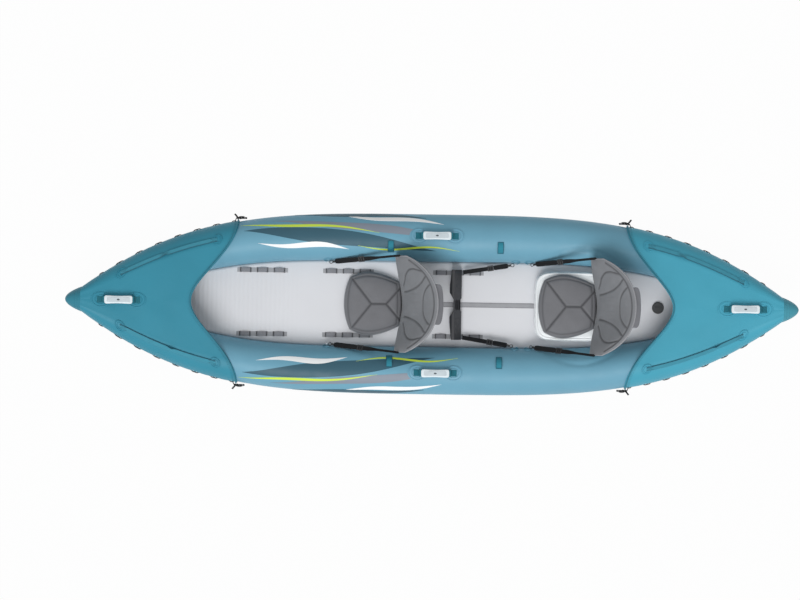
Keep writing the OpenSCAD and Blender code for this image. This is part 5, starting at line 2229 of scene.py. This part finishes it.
    def _back(self, name: str, form: Cushion, at: Array) -> None:
        """Builds a backrest with its bound edge and its stitched panels.

        Args:
            name: The seat's name.
            form: Its form.
            at: Its hinge.
        """
        front, rear, seam = form
        body = f"{name}_backrest"
        back = Draft().shell(front + at, rear + at, seam).place(
            f"{name}_back_cushion", BACK_CLOTH, "seat_fabric", body, on=body, sharp=60)
        half = self.back_w/2
        s = eased(90)
        u, n = s*half, np.abs(s)
        tall = self.back_v(1, np.linspace(0, 1, 24)[1:-1])
        edge = np.concatenate([
            self.back_point(u, self.back_low(n), 0), self.back_point(half, tall, 0),
            self.back_point(u[::-1], self.back_top(n[::-1]), 0),
            self.back_point(-half, tall[::-1], 0)])
        place(self.work.cord(f"{name}_back_binding", [edge + at], self.binding_d, BINDING,
                             sides=10, closed=True), "seat_fabric", on=body)
        lines = self.back_seams()
        for inset in self.wing_seams:
            far = half - inset
            tall = np.linspace(self.wing_low, self.back_top(far/half) - self.wing_high, 30)
            lines += [np.stack([np.full_like(tall, side.value*far), tall], -1) for side in Side]
        rows = [self._on_front(*line.T) + at for line in lines]
        place(self.work.stitches(f"{name}_back_stitches", rows, DARK_STITCH), "seat_fabric",
              on=body)

    def _on_front(self, u: Array, v: Array) -> Array:
        """Points on the seams of a backrest's front, where they lie inside its edge.

        Args:
            u: Lengths round its curve.
            v: Lengths up its slope.

        Returns:
            The points.
        """
        n = np.abs(u)/(self.back_w/2)
        f = np.clip(self.back_f(n, v), 0, 1)
        keep = (f > 0.02) & (f < 0.98)
        return self.back_point(u, v, self.back_half(n, f, 1.0) + 2*THREAD_UP)[keep]

    def _flap(self, name: str, hinge: Array) -> None:
        """Joins a seat base to its backrest by a flap of cloth.

        Args:
            name: The seat's name.
            hinge: Where its backrest folds.
        """
        lean = math.radians(self.recline)
        slope = np.array([math.sin(lean), 0, math.cos(lean)])
        top = hinge - slope*2*SEAT_GAP
        foot = hinge + [self.flap_t/2 + SEAT_GAP - self.hinge_back, 0,
                        self.edge - self.flap_t - self.hinge_up]
        path = smooth([foot, top - slope*self.edge/2, top + slope*0.004], 8)
        Draft().sweep(path, Y_AXIS, web_section(self.flap_w, self.flap_t)).place(
            f"{name}_flap", FLAP_CLOTH, "seat_fabric", f"{name}_hinge_flap",
            on=Bend(("hull", f"{name}_backrest"), foot, top))

    @staticmethod
    def _bulge(p: Array, q: Array) -> Array:
        """How full a bag is at shares of its half width and half height."""
        return 0.25 + 0.75*np.sqrt(np.clip((1 - p**8)*(1 - q**12), 0, None))

    def _pouch(self, name: str, hinge: Array) -> None:
        """Hangs a bag with a zip on the back of a backrest.

        Args:
            name: The seat's name.
            hinge: Where its backrest folds.
        """
        q, p = eased(36)[:, None], eased(44)
        sag = 1 - self.bag_sag*np.sin(3*np.pi*p)*(1 - q)/2
        near = self.back_t*self.slack/2 + FACET_GAP
        u, v = p*self.bag_w/2, self.bag_low + self.bag_h*(1 + q)/2
        n = np.abs(2*u/self.back_w)
        behind = self.back_half(n, self.back_f(n, v))*self.slack + 2*SEAT_GAP
        body = f"{name}_backrest"
        bag = Draft().shell(
            self.back_point(u, v, -near - self.bag_t*self._bulge(p, q)*sag) + hinge,
            self.back_point(u, v, -behind) + hinge).place(
                f"{name}_bag", BAG_CLOTH, "bag_fabric", f"{name}_pouch", on=body, sharp=60)
        p = np.linspace(-self.zip_l, self.zip_l, 50)
        teeth = self.back_point(p*self.bag_w/2, self.bag_low + self.bag_h*(1 + self.zip_at)/2,
                                -near - self.bag_t*self._bulge(p, self.zip_at)) + hinge
        place(self.work.stitches(f"{name}_bag_zip", [teeth], ZIP_TEETH), "bag_fabric", on=body)


@dataclass
class Rigging(Sewn):
    """Straps from the anchor rings to backrests and footrest, with pads and ladder locks."""

    seats: Seats
    names: tuple[str, ...] = ("front", "rear", "footrest")
    ring_xs: Floats = (-0.588, 0.545, 0.470)
    ring_turn: float = 167.0
    ring_off: float = 0.015
    ring_wire: float = 0.004
    hook_end: float = 0.0439
    pad_share: float = 0.42
    pad_t: float = 0.007
    pad_over: float = 0.004
    pad_lean: float = 0.4
    squeeze: Floats = (0.18, 0.6)
    squeeze_l: float = 0.06
    seam_half: float = 0.0095
    seam_up: float = 0.0032
    lock_l: float = 0.034
    lock_rail: Floats = (0.006, 0.007)
    lock_bar: Floats = (0.006, 0.0045)
    lock_bars: Pairs = ((0.1, 0.0), (0.5, 0.0012), (0.9, 0.0))
    web_w: float = 0.025
    web_lean: Floats = (0.42, 0.9)
    twist_from: float = 0.18
    twist_l: float = 0.35
    foot_x: float = 0.134
    foot_l: float = 0.067
    foot_gap: float = 0.0434
    foot_inset: float = 0.014
    foot_z: float = 0.1605

    def sets(self) -> list[tuple[Array, Array]]:
        """The starboard straps.

        Returns:
            For each one the ring at which it starts, and the place that it holds.
        """
        seats = self.seats
        wing = seats.back_point(seats.back_w/2 + SEAT_GAP + 2.5*WEB_T, seats.back_v(1, 0.5), 0)
        holds = [wing + seats.hinge(rear_x, z) for _, rear_x, z in seats.places]
        holds.append(np.array([self.foot_x + self.foot_l/2 + 3*WEB_T,
                               HULL.tube_inside(self.foot_x) - self.foot_gap - self.foot_inset,
                               self.foot_z]))
        return [(HULL.on_tube(x, self.ring_turn, self.ring_off), hold)
                for x, hold in zip(self.ring_xs, holds)]

    def build(self) -> None:
        """Builds the six straps."""
        for (ring, hold), name in zip(self.sets(), self.names):
            for side in Side:
                self._strap(name, side, ring*side.flip, hold*side.flip)

    def _strap(self, name: str, side: Side, ring: Array, hold: Array) -> None:
        """Builds one strap: a pad, a ladder lock, webbing that twists, and the pad's stitches.

        Args:
            name: What it holds.
            side: The side it is on.
            ring: Where its ring is.
            hold: Where it ends.
        """
        on_foot = name == "footrest"
        node = f"{name}_{side.label}_strap"
        bend = Bend(("hull", name if on_foot else f"{name}_backrest"), ring, hold)
        along = unit(hold - ring)
        pad_side = unit([0, side.value, self.pad_lean])
        across = square_to(pad_side, along)
        start = ring + along*(self.hook_end + SEAT_GAP)
        lock = ring + (hold - ring)*self.pad_share
        t = np.linspace(0, 1, 41)[:, None]
        squeezed = bell(t/self.squeeze_l) + bell((1 - t)/self.squeeze_l)
        pad = Draft().sweep(
            start + (lock - start)*t, pad_side, pad_section(self.web_w + self.pad_over, self.pad_t),
            1 - squeezed*self.squeeze).place(
                f"{node}_pad", BLACK_WEB, "black_webbing", node, on=bend)
        self._lock(node, lock, along, across, bend)
        t = np.linspace(0, 1, 40)[:, None]
        web_from = lock + along*WEB_T
        final = pad_side if on_foot else unit([0, *self.web_lean])*side.flip
        twist = ramp(np.clip((t - self.twist_from)/self.twist_l, 0, 1))
        Draft().sweep(
            web_from + (hold - along*WEB_T - web_from)*t, unit(across*(1 - twist) + final*twist),
            web_section(self.web_w, WEB_T)).place(
                f"{node}_web", BLACK_WEB, "black_webbing", node, on=bend)
        middle = (start + (lock - start)*np.linspace(0.12, 0.88, 30)[:, None]
                  + np.cross(along, across)*self.seam_up)
        rows = [middle + across*s for s in (-self.seam_half, self.seam_half)]
        place(self.work.stitches(f"{node}_stitches", rows, DARK_STITCH), "black_webbing", on=bend)

    def _lock(self, node: str, at: Array, along: Array, across: Array, bend: Bend) -> None:
        """Builds a ladder lock: two rails and three bars.

        Args:
            node: The strap's CAD node.
            at: Where the lock starts.
            along: The strap's direction.
            across: Its side.
            bend: The bend that the strap has.
        """
        draft, up, half = Draft(), np.cross(along, across), self.web_w/2 + 0.001
        rail, bar = (pad_section(*size, 12, 4) for size in (self.lock_rail, self.lock_bar))
        for s in (-half, half):
            t = np.linspace(0.01, 1, 5)[:, None]
            draft.sweep(at + along*self.lock_l*t + across*s, across, rail)
        for t, rise in self.lock_bars:
            y = np.linspace(-half, half, 5)[:, None]
            draft.sweep(at + along*self.lock_l*t + across*y + up*rise, along, bar)
        draft.place(f"{node}_lock", HOOK_PLASTIC, "hook_plastic", node, on=bend)


@dataclass
class Booster(Sewn):
    """White air cushion under the rear seat, with a welded seam round it and round its top."""

    length: float = 0.403
    width: float = 0.386
    height: float = 0.074
    mid_x: float = 0.7825
    corner: float = 5.5
    pucker: float = 0.006
    puckers: int = 24
    seam_d: float = 0.004
    seam_ring: int = 11
    shares: Floats = (
        0.02, 0.3, 0.6, 0.85, 0.93, 0.95, 0.965, 0.978, 0.987, 0.993, 0.998, 1, 0.999, 0.997,
        0.993, 0.987, 0.978, 0.965, 0.945, 0.925, 0.917, 0.909, 0.89, 0.6, 0.3, 0.02)
    rises: Floats = (
        0, 0, 0, 0, 0, 0.006, 0.03, 0.08, 0.16, 0.26, 0.38, 0.5, 0.62, 0.74, 0.84, 0.92, 0.97,
        0.99, 1, 0.985, 0.955, 0.985, 1, 1, 1, 1)

    def build(self) -> None:
        """Builds the cushion and its seam."""
        share, rise = np.array(self.shares)[:, None], np.array(self.rises)[:, None]
        turn = np.linspace(0, 2*np.pi, 129)[:-1]
        c, s = np.cos(turn), np.sin(turn)
        squircle = (np.abs(c)**self.corner + np.abs(s)**self.corner)**(-1/self.corner)
        wave = 1 - self.pucker*np.cos(self.puckers*turn)*bell((rise - 0.5)/0.25)
        out = share*squircle*wave
        rings = xyz(self.mid_x + self.length/2*out*c, self.width/2*out*s,
                    HULL.floor_top + SEAT_GAP + self.height*rise)
        seam = np.zeros(out.shape)
        seam[19:22] = [[0.5], [1.0], [0.5]]
        cushion = Draft().loft(rings, seam).place(
            "booster_air_cushion", VINYL, "booster_fabric", "booster_cushion", sharp=60)
        place(self.work.cord("booster_seam", [rings[self.seam_ring]], self.seam_d, VINYL,
                             closed=True), "booster_fabric")


@dataclass
class Footrest:
    """Moulded footrest: two grooved pads that narrow to a slotted neck, on one wedge profile."""

    mid_x: float = 0.134
    base_z: float = 0.1329
    gap: float = 0.0434
    length: float = 0.067
    height: float = 0.092
    tread_low: float = 0.022
    crest: float = 0.015
    edge: float = 0.003
    neck: float = 0.030
    neck_front: float = -0.0115
    neck_in: float = 0.006
    shoulder: Floats = (0.068, 0.100)
    corner: float = 0.010
    brow_l: float = 0.012
    brow_drop: float = 0.014
    slots: Floats = (0.002, 0.012, 0.022)
    slot_depth: float = 0.016
    slot_half: float = 0.0027
    treads: Floats = (0.0002, 0.0068, 0.0135, 0.0202, 0.0268)
    tread_depth: float = 0.003
    tread_half: float = 0.0011
    slot_in: float = 0.002
    tread_from: float = 0.072
    tread_in: float = 0.020
    fade: float = 0.004

    def build(self) -> None:
        """Lofts the moulding from port to starboard, with rounded edges and sunk grooves."""
        half = self.length/2
        wide = HULL.tube_inside(self.mid_x) - self.gap
        y = wide*eased(200)[:, None]
        far = np.abs(y)
        front = np.interp(far, [self.neck, *self.shoulder, wide],
                          [self.neck_front, -half, -half, -half + self.corner])
        rear = np.interp(far, [self.neck, self.neck + self.neck_in],
                         [half - self.neck_in, half])
        x = front + (rear - front)*(1 - np.cos(np.linspace(0, np.pi, 64)))/2
        brow = -half + self.brow_l
        top = np.interp(x, [-half, brow, brow + self.crest, half],
                        [self.height - self.brow_drop, self.height, self.height, self.tread_low])
        on_neck = np.clip((self.neck - self.slot_in - far)/self.fade, 0, 1)
        on_pad = (np.clip((far - self.tread_from)/self.fade, 0, 1)
                  * np.clip((wide - self.tread_in - far)/self.fade, 0, 1))
        for at in self.slots:
            top = top - self.slot_depth*on_neck*np.exp(-((x - at)/self.slot_half)**6)
        for at in self.treads:
            top = top - self.tread_depth*on_pad*np.exp(-((x - at)/self.tread_half)**4)
        inside = np.minimum(np.minimum(x - front, rear - x), wide - far)
        away = np.clip(self.edge - inside, 0, self.edge)
        top = top - self.edge + np.sqrt(self.edge**2 - away**2)
        rings = np.concatenate([xyz(x, y, top), xyz(x, y, 0)[:, ::-1]], 1)
        Draft().loft(rings + [self.mid_x, 0, self.base_z]).place(
            "footrest_moulding", FOOT_PLASTIC, "footrest_plastic", "footrest_bar",
            on="footrest", sharp=50)


@dataclass
class Fittings:
    """Rigid parts whose CAD form is right and which get their material here."""

    valves: tuple[str, ...] = ("floor", "port", "starboard")

    def dress(self) -> None:
        """Sets the materials of the CAD nodes that stay in view."""
        finishes = [(f"{valve}_valve_cap", VALVE_PLASTIC) for valve in self.valves]
        finishes += [(f"{valve}_valve_{part}", SEAL_PLASTIC)
                     for valve in self.valves for part in ("base", "plunger")]
        finishes += [("strap_hooks", HOOK_PLASTIC), ("fin_socket", FOOT_PLASTIC),
                     ("anchor_rings", WIRE), ("booster_valve", CLEAR_PLASTIC)]
        for node, finish in finishes:
            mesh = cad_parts[node].data
            mesh.materials.clear()
            mesh.materials.append(finish.material())
            LOG.info("%s is %s", node, finish.name)


def main() -> None:
    """Builds the boat piece by piece."""
    logging.basicConfig(level=logging.INFO, format="%(message)s")
    Stage().build()
    work = PathWork()
    Covers(work).build()
    SideTubes().build()
    Livery().build()
    Floor(work).build()
    straps, handles, seats = DeckStraps(work), Handles(work), Seats(work)
    rig = Rigging(work, seats)
    straps.build()
    handles.build()
    Patches().build(handles, straps, rig)
    GearLoops(work).build()
    seats.build()
    rig.build()
    Booster(work).build()
    Footrest().build()
    Fittings().dress()


if __name__ == "__main__":
    main()
